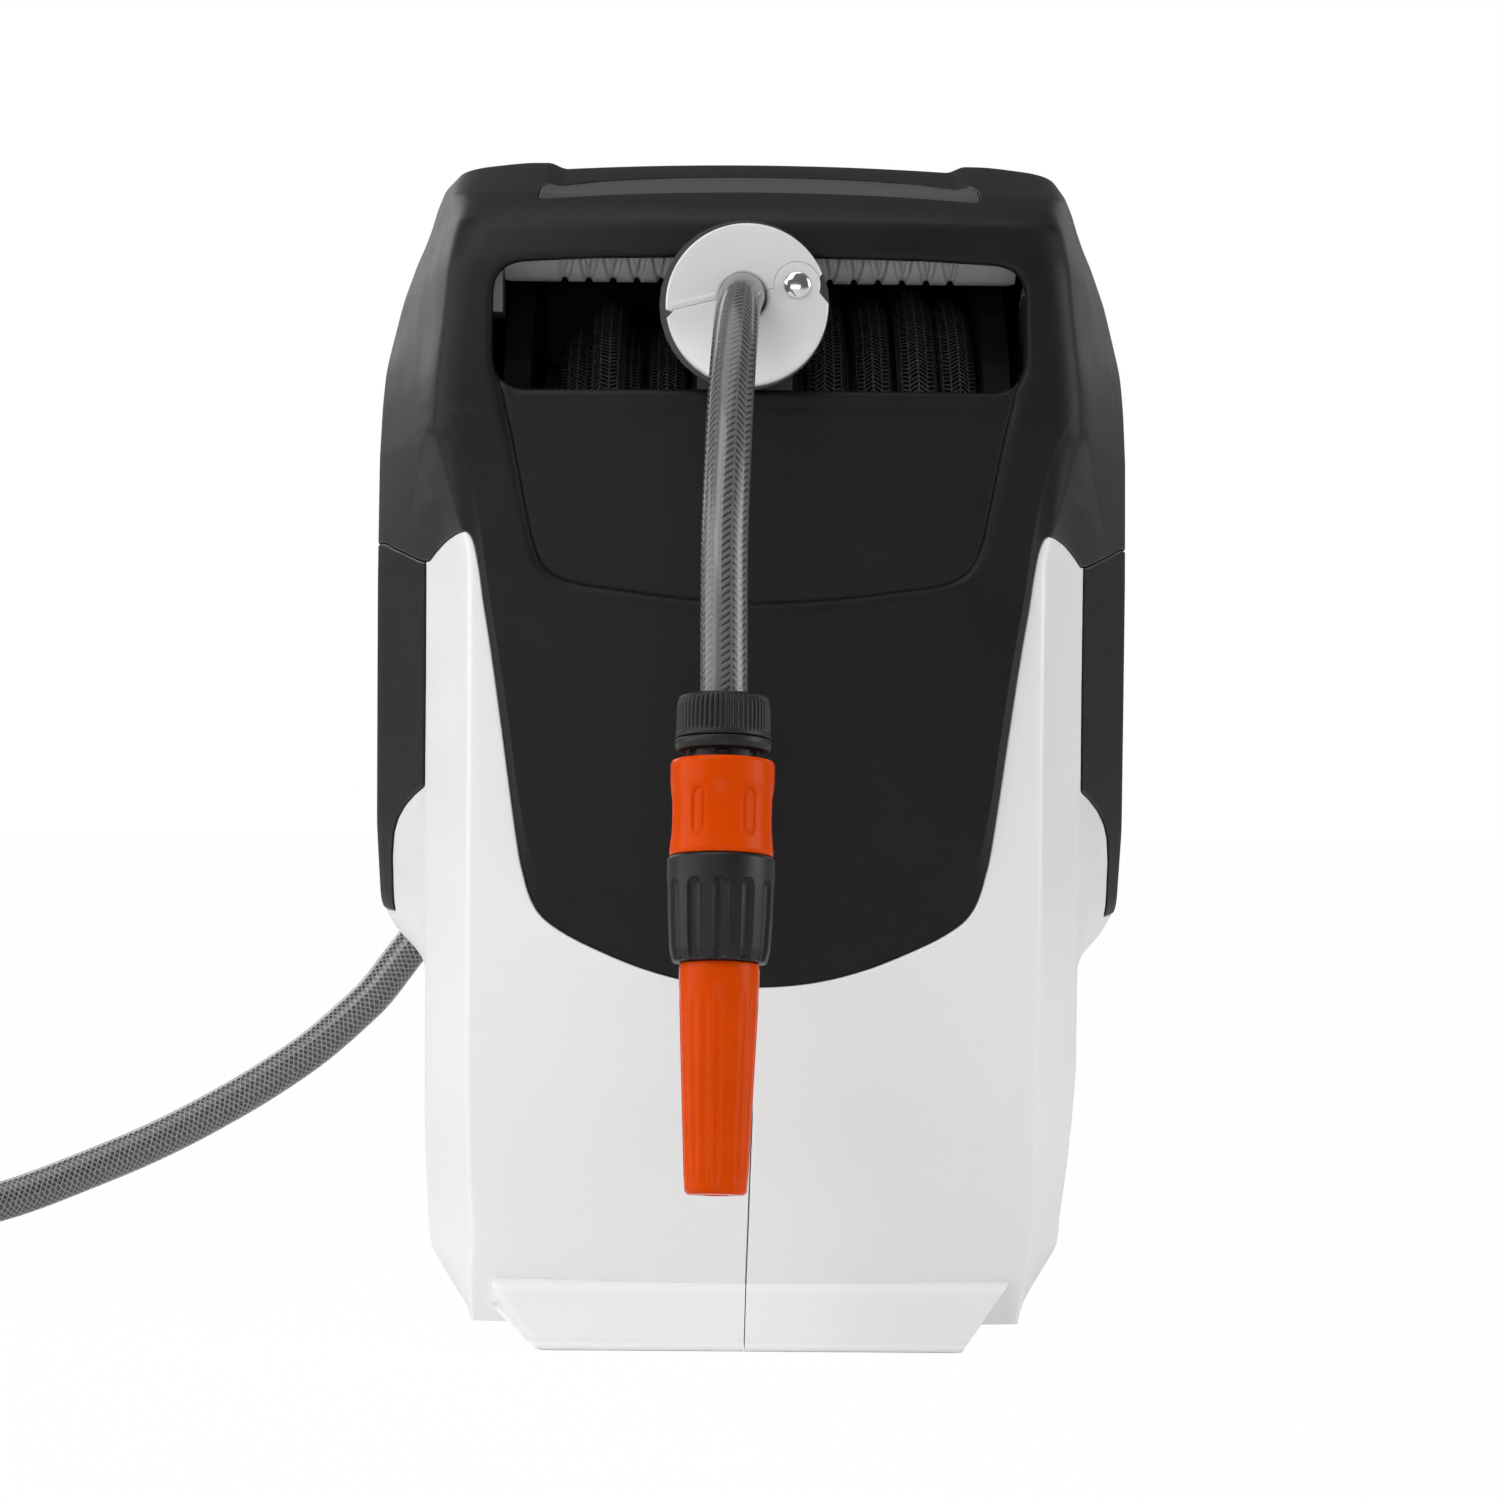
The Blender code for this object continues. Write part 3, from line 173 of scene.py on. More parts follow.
def metal_mat(name, base, rough, brushed=(1.0, 1.0, 1.0), scale=300.0, depth=0.00003, vary=0.06):
    m, nt, sh = new_mat(name, base, rough, 1.0)
    tc = nt.nodes.new("ShaderNodeTexCoord").outputs["Object"]
    mp = node(nt, "ShaderNodeMapping")
    mp.inputs["Scale"].default_value = brushed
    nt.links.new(tc, mp.inputs["Vector"])
    n = node(nt, "ShaderNodeTexNoise", Scale=scale, Detail=4.0, Roughness=0.6)
    nt.links.new(mp.outputs["Vector"], n.inputs["Vector"])
    dark = tuple(c * (1 - vary * 2) for c in base)
    nt.links.new(mix_colour(nt, ramp(nt, n.outputs["Fac"], 0.3, 0.7, 0.0, 1.0), dark, base), sh.inputs["Base Color"])
    nt.links.new(ramp(nt, n.outputs["Fac"], 0.3, 0.7, max(0.02, rough - 0.06), rough + 0.08), sh.inputs["Roughness"])
    bump = node(nt, "ShaderNodeBump", Strength=1.0, Distance=depth)
    nt.links.new(n.outputs["Fac"], bump.inputs["Height"])
    nt.links.new(bump.outputs["Normal"], sh.inputs["Normal"])
    return m


def hose_mat(name, light, dark, skin, width=0.30, cross=False, columns=14, pitch=0.0025, stripe=None):
    """Clear skin over knitted yarn. UV: x once around the hose, y metres along it."""
    m, nt, sh = new_mat(name, light, 0.28, 0.0, 0.55, 0.12)
    uv = nt.nodes.new("ShaderNodeUVMap")
    uv.uv_map = "UVMap"
    sep = nt.nodes.new("ShaderNodeSeparateXYZ")
    nt.links.new(uv.outputs["UV"], sep.inputs[0])
    u, v = sep.outputs[0], sep.outputs[1]
    rows = math_node(nt, 'MULTIPLY', v, 1.0 / pitch)
    tri = math_node(nt, 'PINGPONG', math_node(nt, 'MULTIPLY', u, float(columns)), 1.0)
    lean = math_node(nt, 'MULTIPLY', tri, 1.1)
    wobble = node(nt, "ShaderNodeTexNoise", Scale=90.0, Detail=2.0)
    tc = nt.nodes.new("ShaderNodeTexCoord").outputs["Object"]
    nt.links.new(tc, wobble.inputs["Vector"])
    rows = math_node(nt, 'ADD', rows, math_node(nt, 'MULTIPLY', wobble.outputs["Fac"], 0.35))

    def yarn(sign):
        phase = math_node(nt, 'FRACT', math_node(nt, 'ADD', rows, math_node(nt, 'MULTIPLY', lean, sign)))
        off = math_node(nt, 'ABSOLUTE', math_node(nt, 'SUBTRACT', phase, 0.5))
        return ramp(nt, off, 0.5 - width - 0.10, 0.5 - width + 0.08, 0.0, 1.0)
    web = yarn(1.0)
    if cross:
        web = math_node(nt, 'MAXIMUM', web, yarn(-1.0))
    else:
        # yarn crosses over at each column's edge
        edge = math_node(nt, 'ABSOLUTE', math_node(nt, 'SUBTRACT', tri, 0.5))
        web = math_node(nt, 'MAXIMUM', web, ramp(nt, edge, 0.36, 0.47, 0.0, 0.85))
    if stripe is not None:
        # a plain stripe that runs along the hose
        d = math_node(nt, 'ABSOLUTE', math_node(nt, 'SUBTRACT', u, stripe))
        flat = ramp(nt, d, 0.020, 0.027, 1.0, 0.0)
    cloud = node(nt, "ShaderNodeTexNoise", Scale=420.0, Detail=3.0)
    nt.links.new(tc, cloud.inputs["Vector"])
    tone = mix_colour(nt, ramp(nt, cloud.outputs["Fac"], 0.3, 0.7, 0.0, 1.0), tuple(c * 0.82 for c in light), light)
    col = mix_colour(nt, web, dark, tone)
    if stripe is not None:
        col = mix_colour(nt, flat, col, skin)
        web = math_node(nt, 'MAXIMUM', web, flat)
    nt.links.new(col, sh.inputs["Base Color"])
    nt.links.new(ramp(nt, web, 0.0, 1.0, 0.24, 0.38), sh.inputs["Roughness"])
    bump = node(nt, "ShaderNodeBump", Strength=1.0, Distance=0.00010)
    nt.links.new(web, bump.inputs["Height"])
    nt.links.new(bump.outputs["Normal"], sh.inputs["Normal"])
    return m


# inside: the cover's inner faces get a lighter grey, painted light inside the housing
M_COVER = plastic("cover_black", (0.0066, 0.0066, 0.0068), 0.46, grain=1500, grain_depth=0.00011, vary=0.20,
                  rough_vary=0.03, spec=0.20, inside=(0.20, 0.20, 0.20))
M_SIDE = plastic("side_black", (0.0055, 0.0055, 0.0057), 0.46, grain=1500, grain_depth=0.00011, vary=0.20,
                 rough_vary=0.03, spec=0.10)
M_LABEL = plastic("label_gloss", (0.050, 0.051, 0.053), 0.20, grain=900, grain_depth=0.000006, vary=0.05, rough_vary=0.04)
M_SHELL = plastic("shell_grey", (0.79, 0.79, 0.79), 0.34, grain=900, grain_depth=0.00002, vary=0.012, rough_vary=0.05,
                  mottle=18)
M_WORKS = plastic("works_black", (0.034, 0.034, 0.0345), 0.42, grain=700, grain_depth=0.00004, vary=0.15)
M_FITTING = plastic("fitting_black", (0.013, 0.013, 0.0135), 0.40, spec=0.24, grain=1600, grain_depth=0.00006, vary=0.10)
M_WHITE = plastic("white_plastic", (0.66, 0.66, 0.66), 0.20, grain=500, grain_depth=0.000012, vary=0.012,
                  rough_vary=0.05, coat=0.3, coat_rough=0.06, mottle=60)
M_SCREW = plastic("screw_white", (0.66, 0.66, 0.65), 0.36, grain=900, grain_depth=0.00003, vary=0.04, mottle=120)
M_ORANGE = plastic("orange_plastic", (0.60, 0.056, 0.0008), 0.20, grain=700, grain_depth=0.00002, vary=0.05,
                   rough_vary=0.04, mottle=50, spec=0.05)
# handle cup: black plastic given a lighter dark grey than the works, painted light on its wall inside the housing
M_CUP_PAINTED_LIGHT = plastic("cup_painted_light", (0.075, 0.075, 0.076), 0.50, grain=900, grain_depth=0.00005, vary=0.12, spec=0.3)
M_STEEL = metal_mat("steel", (0.62, 0.62, 0.61), 0.26, (1, 1, 14), 220.0)
M_POLISHED = metal_mat("steel_polished", (0.74, 0.74, 0.73), 0.14, (1, 1, 1), 160.0, 0.0000004)
M_GALV = metal_mat("steel_zinc", (0.52, 0.53, 0.54), 0.40, (1, 1, 1), 80.0, 0.00004, 0.14)
M_BRASS = metal_mat("brass", (0.72, 0.52, 0.22), 0.27, (1, 1, 1), 240.0)
M_HOSE = hose_mat("hose_front", (0.112, 0.112, 0.112), (0.028, 0.028, 0.028), (0.090, 0.090, 0.090), 0.27, stripe=0.318)
M_HOSE_L = hose_mat("hose_leader", (0.27, 0.27, 0.27), (0.036, 0.036, 0.036), (0.085, 0.085, 0.085), 0.12, True,
                    stripe=0.63)
M_HOSE_W = hose_mat("hose_wound", (0.42, 0.42, 0.42), (0.022, 0.022, 0.022), (0.1, 0.1, 0.1), 0.15)

SLOT_OF = {p["node"]: p["material_slot"] for p in frame["record"]["subparts"]}
LOOK = {"cover_black": M_COVER, "label_black": M_LABEL, "shell_grey": M_SHELL, "works_black": M_WORKS,
        "fitting_black": M_FITTING, "white_plastic": M_WHITE, "orange_plastic": M_ORANGE, "hose_grey": M_HOSE_W,
        "steel": M_STEEL, "brass": M_BRASS}
for name, ob in frame["nodes"].items():
    look = LOOK[SLOT_OF[name]]
    if not ob.data.materials:
        ob.data.materials.append(look)
    for slot in ob.material_slots:
        slot.material = look
# the handle cup takes the lighter grey with painted light inside the housing
for slot in frame["nodes"]["handle_cup"].material_slots:
    slot.material = M_CUP_PAINTED_LIGHT
for name in ("pivot_bracket", "wall_bracket", "spring_case", "case_screw_1", "case_screw_2", "case_screw_3"):
    for slot in frame["nodes"][name].material_slots:
        slot.material = M_GALV


# ================================================================ mesh helpers
def make(name, verts, faces, mat, body, sharp=38.0, uv=None, weld=None, normals=True, inner=None):
    """A piece from points in the drum-centred frame."""
    me = bpy.data.meshes.new(name)
    pts = np.asarray(verts, float).reshape(-1, 3) + SHIFT
    me.from_pydata(pts.tolist(), [], [tuple(int(i) for i in f) for f in faces])
    if uv is not None:
        layer = me.uv_layers.new(name="UVMap")
        layer.data.foreach_set("uv", np.asarray(uv, np.float32).ravel())
    if inner is not None:
        layer = me.attributes.new("inner", 'FLOAT', 'POINT')
        layer.data.foreach_set("value", np.asarray(inner, np.float32))
    if weld is not None or normals:
        bm = bmesh.new()
        bm.from_mesh(me)
        if weld is not None:
            bmesh.ops.remove_doubles(bm, verts=bm.verts, dist=weld)
            bm.verts.index_update()
            seen, twice = {}, []
            for face in bm.faces:
                key = frozenset(v.index for v in face.verts)
                if key in seen:
                    twice += [face, seen.pop(key)]
                else:
                    seen[key] = face
            bmesh.ops.delete(bm, geom=twice, context='FACES_ONLY')
        if normals:
            bmesh.ops.recalc_face_normals(bm, faces=bm.faces)
        bm.to_mesh(me)
        bm.free()
    me.materials.append(mat)
    me.shade_smooth()
    if sharp is not None:
        me.set_sharp_from_angle(angle=math.radians(sharp))
    ob = bpy.data.objects.new(name, me)
    scene.collection.objects.link(ob)
    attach(ob, body)
    return ob


def smoothstep(a, b, x):
    t = np.clip((x - a) / (b - a), 0, 1)
    return t * t * (3 - 2 * t)


def catmull(points, per=12):
    pts = [np.array(p, float) for p in points]
    pts = [2 * pts[0] - pts[1]] + pts + [2 * pts[-1] - pts[-2]]
    out = []
    for i in range(1, len(pts) - 2):
        p0, p1, p2, p3 = pts[i - 1:i + 3]
        for k in range(per):
            t = k / per
            out.append(0.5 * ((2 * p1) + (p2 - p0) * t + (2 * p0 - 5 * p1 + 4 * p2 - p3) * t * t
                              + (3 * p1 - p0 - 3 * p2 + p3) * t ** 3))
    out.append(pts[-2])
    return np.array(out)


def resample(points, step=None, count=None):
    pts = np.asarray(points, float)
    d = np.concatenate([[0], np.cumsum(np.linalg.norm(np.diff(pts, axis=0), axis=1))])
    if count is None:
        count = max(3, int(round(d[-1] / step)) + 1)
    s = np.linspace(0, d[-1], count)
    return np.stack([np.interp(s, d, pts[:, k]) for k in range(pts.shape[1])], 1)


def round_poly(pts, radii, n=5, closed=True):
    """Corners of an outline turned into arcs."""
    pts = [np.array(p, float) for p in pts]
    if isinstance(radii, (int, float)):
        radii = [radii] * len(pts)
    out = []
    m = len(pts)
    for i, p in enumerate(pts):
        r = radii[i]
        if r <= 0 or (not closed and i in (0, m - 1)):
            out.append(p)
            continue
        a, b = pts[i - 1], pts[(i + 1) % m]
        e1, e2 = a - p, b - p
        l1, l2 = np.linalg.norm(e1), np.linalg.norm(e2)
        e1, e2 = e1 / l1, e2 / l2
        ang = math.acos(max(-1, min(1, float(e1 @ e2))))
        if abs(math.pi - ang) < 0.02:
            out.append(p)
            continue
        d = min(r / math.tan(ang / 2), 0.48 * l1, 0.48 * l2)
        for k in range(n + 1):
            t = k / n
            out.append((1 - t) ** 2 * (p + e1 * d) + 2 * t * (1 - t) * p + t * t * (p + e2 * d))
    return np.array(out)


def poly_sdf(poly, p):
    """Signed distance to a closed outline (positive inside) and its gradient, in the plane."""
    poly = np.asarray(poly, float)
    px, py = np.ascontiguousarray(p[:, 0]), np.ascontiguousarray(p[:, 1])
    best = np.full(len(p), 1e9)
    nx, ny = np.zeros(len(p)), np.zeros(len(p))
    inside = np.zeros(len(p), bool)
    for a, b in zip(poly, np.roll(poly, -1, 0)):
        ex, ey = b[0] - a[0], b[1] - a[1]
        rx, ry = px - a[0], py - a[1]
        t = (rx * ex + ry * ey) * (1.0 / max(ex * ex + ey * ey, 1e-18))
        np.clip(t, 0, 1, out=t)
        rx -= t * ex
        ry -= t * ey
        d = rx * rx + ry * ry
        closer = d < best
        best[closer] = d[closer]
        nx[closer], ny[closer] = rx[closer], ry[closer]
        if a[1] != b[1]:
            lo, hi = (a[1], b[1]) if a[1] < b[1] else (b[1], a[1])
            band = (py >= lo) & (py < hi)
            if band.any():
                xi = ex * (py[band] - a[1]) / ey + a[0]
                inside[band] ^= px[band] < xi
    best = np.sqrt(best)
    sign = np.where(inside, 1.0, -1.0)
    n = np.maximum(best, 1e-12)
    g = np.stack([nx * sign / n, ny * sign / n], 1)
    g[best < 1e-9] = 0
    return best * sign, g


def line_dist(line, p):
    """Distance to an open polyline."""
    best = np.full(len(p), 1e9)
    for a, b in zip(line[:-1], line[1:]):
        ab = b - a
        t = np.clip(((p - a) @ ab) / max(ab @ ab, 1e-18), 0, 1)
        best = np.minimum(best, np.hypot(*(p - a - t[:, None] * ab).T))
    return best


class Skin:
    """A surface patch that can be cut along curves. co: points, no: normals, quads: array, polys: lists."""

    def __init__(self, co, no, quads):
        self.co, self.no = co.copy(), no.copy()
        self.quads, self.polys = quads.copy(), []
        self.borders = []
        self.level = None
        self.known = {}

    def copy(self):
        s = Skin(self.co, self.no, self.quads)
        s.polys = [list(p) for p in self.polys]
        return s

    def limit(self, keep):
        """Keeps only faces with at least one point where keep is true."""
        self.quads = self.quads[keep[self.quads].any(1)]
        self.polys = [f for f in self.polys if any(keep[i] for i in f)]
        self.compact()

    def compact(self):
        used = np.zeros(len(self.co), bool)
        used[self.quads.ravel()] = True
        for f in self.polys:
            used[f] = True
        index = np.cumsum(used) - 1
        self.co, self.no = self.co[used], self.no[used]
        self.known = {fn: [d[used], g[used]] for fn, (d, g) in self.known.items()}
        self.quads = index[self.quads]
        self.polys = [[int(index[i]) for i in f] for f in self.polys]

    def measure(self, fn):
        if fn not in self.known:
            d, g = fn(self.co)
            self.known[fn] = [np.array(d, float), np.array(g, float)]
        return self.known[fn]

    def cut(self, fn, level=0.0, drop=True, snap=0.00022):
        d, g = self.measure(fn)
        v = d - level
        near = np.abs(v) < snap
        if near.any():
            self.co[near] -= (v[near, None] * g[near])
            for other, pair in self.known.items():
                dn, gn = other(self.co[near])
                pair[0][near], pair[1][near] = dn, gn
        v[near] = 0.0
        s = np.sign(v)
        sq = s[self.quads]
        hi, lo = sq.max(1), sq.min(1)
        mixed = (hi > 0) & (lo < 0)
        out = hi <= 0
        quads = self.quads[~mixed & ~(out if drop else np.zeros_like(out))]
        work = [list(q) for q in self.quads[mixed]]
        polys = []
        for f in self.polys:
            vals = s[f]
            if vals.max() > 0 and vals.min() < 0:
                work.append(f)
            elif vals.max() > 0 or not drop:
                polys.append(f)
        new_co, new_no, seen = [], [], {}
        base = len(self.co)

        def cross(i, j):
            key = (i, j) if i < j else (j, i)
            if key not in seen:
                t = v[i] / (v[i] - v[j])
                seen[key] = base + len(new_co)
                new_co.append(self.co[i] * (1 - t) + self.co[j] * t)
                new_no.append(self.no[i] * (1 - t) + self.no[j] * t)
            return seen[key]
        for f in work:
            pos, neg = [], []
            n = len(f)
            for k in range(n):
                i, j = f[k], f[(k + 1) % n]
                if s[i] >= 0:
                    pos.append(i)
                if s[i] <= 0:
                    neg.append(i)
                if s[i] * s[j] < 0:
                    c = cross(i, j)
                    pos.append(c)
                    neg.append(c)
            if len(pos) >= 3:
                polys.append(pos)
            if not drop and len(neg) >= 3:
                polys.append(neg)
        if new_co:
            for other, pair in self.known.items():
                dn, gn = other(np.array(new_co))
                pair[0], pair[1] = np.concatenate([pair[0], dn]), np.concatenate([pair[1], gn])
            self.co = np.concatenate([self.co, np.array(new_co)])
            nn = np.array(new_no)
            self.no = np.concatenate([self.no, nn / np.linalg.norm(nn, axis=1, keepdims=True)])
        self.quads, self.polys = quads, polys
        if drop:
            self.compact()
        return self

    def border(self, fn, radius, gap=0.0, steps=(0.12, 0.32, 0.62, 1.0)):
        """Cuts away where fn is below gap, with rows of points behind the edge for its rounding."""
        self.cut(fn, gap, True, min(0.00022, radius * 0.10 + 0.00005))
        for s in steps:
            self.cut(fn, gap + s * radius, False, min(0.00020, radius * 0.06))
        self.borders.append((fn, radius, gap))
        return self

    def faces(self):
        return self.quads.tolist() + [list(p) for p in self.polys]

    def solid(self, relief, thick, back=None):
        """Closed mesh: relief and rounded borders on the outside, a plain inside."""
        self.compact()
        faces = self.faces()
        co, no = self.co, self.no
        outer = co + relief(co, no)
        if self.level is not None:
            # the walls of this opening go straight back
            d, _ = self.measure(self.level)
            w = (1 - smoothstep(0.0, 0.006, d))[:, None]
            no = no * (1 - w) + np.array((0.0, -1.0, 0.0)) * w
            no = no / np.linalg.norm(no, axis=1, keepdims=True)
        for fn, radius, gap in self.borders:
            d, _ = self.measure(fn)
            x = np.clip(d - gap, 0, radius)
            drop = radius - np.sqrt(np.maximum(radius ** 2 - (radius - x) ** 2, 0))
            outer = outer - no * drop[:, None]
        inner = co - no * thick if back is None else back(co)
        n = len(co)
        start = [self.quads.ravel()]
        end = [np.roll(self.quads, -1, 1).ravel()]
        for f in self.polys:
            start.append(np.array(f))
            end.append(np.array(f[1:] + f[:1]))
        start, end = np.concatenate(start), np.concatenate(end)
        lone = ~np.isin(start * n + end, end * n + start)
        rim = [(j, i, i + n, j + n) for i, j in zip(start[lone].tolist(), end[lone].tolist())]
        back_faces = [[i + n for i in reversed(f)] for f in faces]
        return np.concatenate([outer, inner]), faces + back_faces + rim


# ================================================================ housing surface
LEVELS = np.array((
    (8.0, -163, 104, -157, 106.5, -120, 106.5, -20, 106.5, 20, 98.5, 172, 176),
    (34.5, -168, 105.5, -160, 124.2, -120, 124.5, -20, 124.5, 20, 106, 177, 182),
    (100.0, -178.5, 105.9, -169, 124.4, -120, 125.7, -20, 125.7, 20, 107.5, 178, 188),
    (127.0, -181, 106, -171.5, 124.5, -120, 126.2, -20, 126.2, 20, 108, 178, 189),
    (137.0, -182, 106, -172.5, 124.5, -120, 131, -20, 131, 20, 108, 178, 189),
    (147.0, -182.7, 106, -173, 124.5, -120, 142.5, -20, 142.5, 20, 108, 178, 189),
    (158.0, -183.2, 106, -173.5, 124.5, -120, 149, -20, 149, 20, 108, 178, 189),
    (190.0, -184.5, 106, -175, 124.5, -120, 151, -20, 151, 20, 108, 178, 189),
    (245.0, -186, 106, -176, 124.5, -120, 151.3, -20, 151.3, 20, 108, 178, 189),
    (291.0, -186.8, 106.2, -176.5, 124.2, -122, 151.5, -20, 151.5, 20, 110, 177, 189),
    (337.5, -187, 116.5, -178.5, 121.5, -168, 151, -20, 151, 20, 115, 173, 189),
    (358.0, -187, 116, -178.5, 121.2, -166, 150, -20, 150, 20, 114.5, 170, 185),
    (373.0, -186.8, 115, -178, 119.5, -165, 148.6, -20, 148.6, 20, 114, 166, 180),
    (400.0, -186, 112.5, -176.5, 117.5, -163, 142, -18, 142, 20, 112, 150, 162),
    (415.0, -183.5, 109.5, -173, 115, -158, 136.5, -18, 136.5, 20, 111, 135, 145),
    (421.5, -174.5, 107.5, -164, 114.5, -150, 133.5, -18, 133.5, 20, 110.5, 126, 136),
    (428.0, -156.5, 107, -150, 115, -138, 131, -18, 131, 20, 109, 112, 122),
    (436.5, -121.5, 106, -118, 116, -105, 128.5, -18, 128.5, 20, 107, 88, 100),
    (444.0, -96, 104.5, -91, 115, -78, 125.6, -18, 125.6, 18, 106, 62, 72),
    (447.6, -81, 105, -76, 114.5, -62, 122.5, -17, 122.5, 14, 104, 42, 52),
    (449.5, -70, 103, -65, 110.5, -50, 116.5, -15, 116.5, 10, 100, 20, 30),
)) * MM


def housing_surface():
    z, ay = LEVELS[:, 0], LEVELS[:, 1]
    # extra corner K between the side's front edge and its widest line: the rear edge of the scooped flank
    k_frac = np.interp(z, [0.0, 0.291, 0.3375, 0.358, 0.373, 0.5], [0.6, 0.6, 0.03, 0.3, 0.5, 0.6])
    kx = LEVELS[:, 4] + k_frac * (LEVELS[:, 6] - LEVELS[:, 4])
    ky = LEVELS[:, 5] + k_frac * (LEVELS[:, 7] - LEVELS[:, 5])
    table = np.concatenate([LEVELS, kx[:, None], ky[:, None]], 1)
    # scooped flank: front corner C pulled in between the two levels
    extra = []
    for zz, pull in ((0.303, 0.0012), (0.3135, 0.0022), (0.3245, 0.0018)):
        row = np.array([np.interp(zz, z, table[:, c]) for c in range(table.shape[1])])
        row[4] -= pull
        row[5] += pull * 1.5
        extra.append(row)
    table = np.concatenate([table, np.array(extra)])
    table = table[np.argsort(table[:, 0])]
    z, ay = table[:, 0], table[:, 1]
    s = np.concatenate([[0], np.cumsum(np.hypot(np.diff(ay), np.diff(z)))])
    pos = [0.0]
    while pos[-1] < s[-1] - 1e-6:
        zc = float(np.interp(pos[-1], s, z))
        step = 0.0020 if zc < 0.05 else 0.0032 if zc < 0.124 else 0.0016 if zc < 0.285 else 0.0013 if zc < 0.345 else 0.0016
        pos.append(min(pos[-1] + step, s[-1]))
    pos = np.array(pos)
    fine = np.linspace(-0.03, s[-1] + 0.03, 2600)
    rows = []
    for c in range(table.shape[1]):
        v = np.interp(fine, s, table[:, c])
        lo, hi = fine < 0, fine > s[-1]
        v[lo] = table[0, c] + (table[1, c] - table[0, c]) / (s[1] - s[0]) * fine[lo]
        v[hi] = table[-1, c] + (table[-1, c] - table[-2, c]) / (s[-1] - s[-2]) * (fine[hi] - s[-1])
        rows.append(v)
    rows = np.array(rows).T
    zc = np.interp(pos, s, z)
    sigma = np.interp(zc, [0.0, 0.03, 0.05, 0.115, 0.135, 0.285, 0.295, 0.336, 0.346, 0.39, 0.412, 0.425, 0.45],
                      [0.0015, 0.003, 0.006, 0.006, 0.003, 0.003, 0.0010, 0.0010, 0.003, 0.0035, 0.0018, 0.0025, 0.003])
    w = np.exp(-0.5 * ((pos[:, None] - fine[None]) / sigma[:, None]) ** 2)
    w /= w.sum(1, keepdims=True)
    R = w @ rows
    R[-1] = table[-1]
    Z = R[:, 0]
    n = len(R)
    A = np.stack([np.zeros(n), R[:, 1]], 1)
    B, C, D, E, F = (R[:, i:i + 2] for i in (2, 4, 6, 8, 10))
    K = R[:, 13:15]
    G2 = np.stack([np.full(n, 0.045), R[:, 12]], 1)
    G = np.stack([np.zeros(n), R[:, 12]], 1)

    def along(p, q, d, share=0.45):
        e = q - p
        length = np.linalg.norm(e, axis=1, keepdims=True)
        return p + e / length * np.minimum(d[:, None], length * share)
    low = smoothstep(0.30, 0.345, Z)
    rb = 0.0022 + low * 0.0060 + smoothstep(0.39, 0.42, Z) * 0.004
    rc = 0.0035 + low * 0.0040 + smoothstep(0.39, 0.42, Z) * 0.003
    rk = np.full(n, 0.0030)
    rd = np.full(n, 0.022)
    arc_pts = []
    power = 2.2
    # front arc up to the fillet at B
    ub = 1 - rb / B[:, 0]
    for t in np.linspace(0, 1, 66):
        u = t * ub
        arc_pts.append(np.stack([u * B[:, 0], A[:, 1] + (B[:, 1] - A[:, 1]) * u ** power], 1))

    def bezier(a, p, b, count, first=False):
        return [a * (1 - t) ** 2 + p * 2 * t * (1 - t) + b * t * t for t in np.linspace(0, 1, count + 1)[1:]]

    def straight(a, b, count):
        return [a * (1 - t) + b * t for t in np.linspace(0, 1, count + 1)[1:]]
    pts = list(arc_pts)
    q = along(B, C, rb)
    pts += bezier(pts[-1], B, q, 8)
    a = along(C, B, rc)
    pts += straight(q, a, 8)
    b = along(C, K, rc)
    pts += bezier(a, C, b, 7)
    a2 = along(K, C, rk)
    pts += straight(b, a2, 14)
    b2 = along(K, D, rk)
    pts += bezier(a2, K, b2, 4)
    a3 = along(D, K, rd)
    pts += straight(b2, a3, 18)
    b3 = along(D, E, rd)
    pts += bezier(a3, D, b3, 9)
    a4 = along(E, D, rd)
    pts += straight(b3, a4, 4)
    b4 = along(E, F, rd)
    pts += bezier(a4, E, b4, 9)
    a5 = along(F, E, rd)
    pts += straight(b4, a5, 34)
    b5 = along(F, G2, rd * 0.8)
    pts += bezier(a5, F, b5, 9)
    a6 = along(G2, F, rd)
    pts += straight(b5, a6, 10)
    b6 = along(G2, G, rd)
    pts += bezier(a6, G2, b6, 5)
    pts += straight(b6, G, 8)
    half = np.stack(pts, 1)                      # rows x columns x 2
    other = half[:, -2:0:-1] * np.array([-1.0, 1.0])
    # the right half is drawn in a little towards its bottom corner
    s_c = np.interp(Z, [0.008, 0.0137, 0.0211, 0.0285, 0.0359, 0.0433, 0.0507, 0.0581, 0.0656, 0.0804, 0.10],
                    [4.6, 4.7, 5.2, 5.5, 5.7, 5.7, 4.8, 3.8, 2.9, 1.4, 0.0])[:, None] * MM
    s_b = np.interp(Z, [0.008, 0.020, 0.045], [3.9, 2.6, 0.0])[:, None] * MM
    x = half[:, :, 0]
    bx, cx_ = B[:, :1], C[:, :1]
    f = np.clip((x - bx) / np.maximum(cx_ - bx, 1e-4), 0, 1)
    half = half.copy()
    half[:, :, 0] = x - (s_b + (s_c - s_b) * f) * smoothstep(0.45, 1.0, x / bx)
    s_l = np.interp(Z, [0.02, 0.0285, 0.0359, 0.0433, 0.0507, 0.0656, 0.0804], [0, 0.5, 1.7, 1.6, 1.2, 0.5, 0])
    other[:, :, 0] += s_l[:, None] * MM * smoothstep(0.9, 1.0, -other[:, :, 0] / bx)
    ring = np.concatenate([half, other], 1)
    grid = np.concatenate([ring, np.repeat(Z[:, None, None], ring.shape[1], 1)], 2)
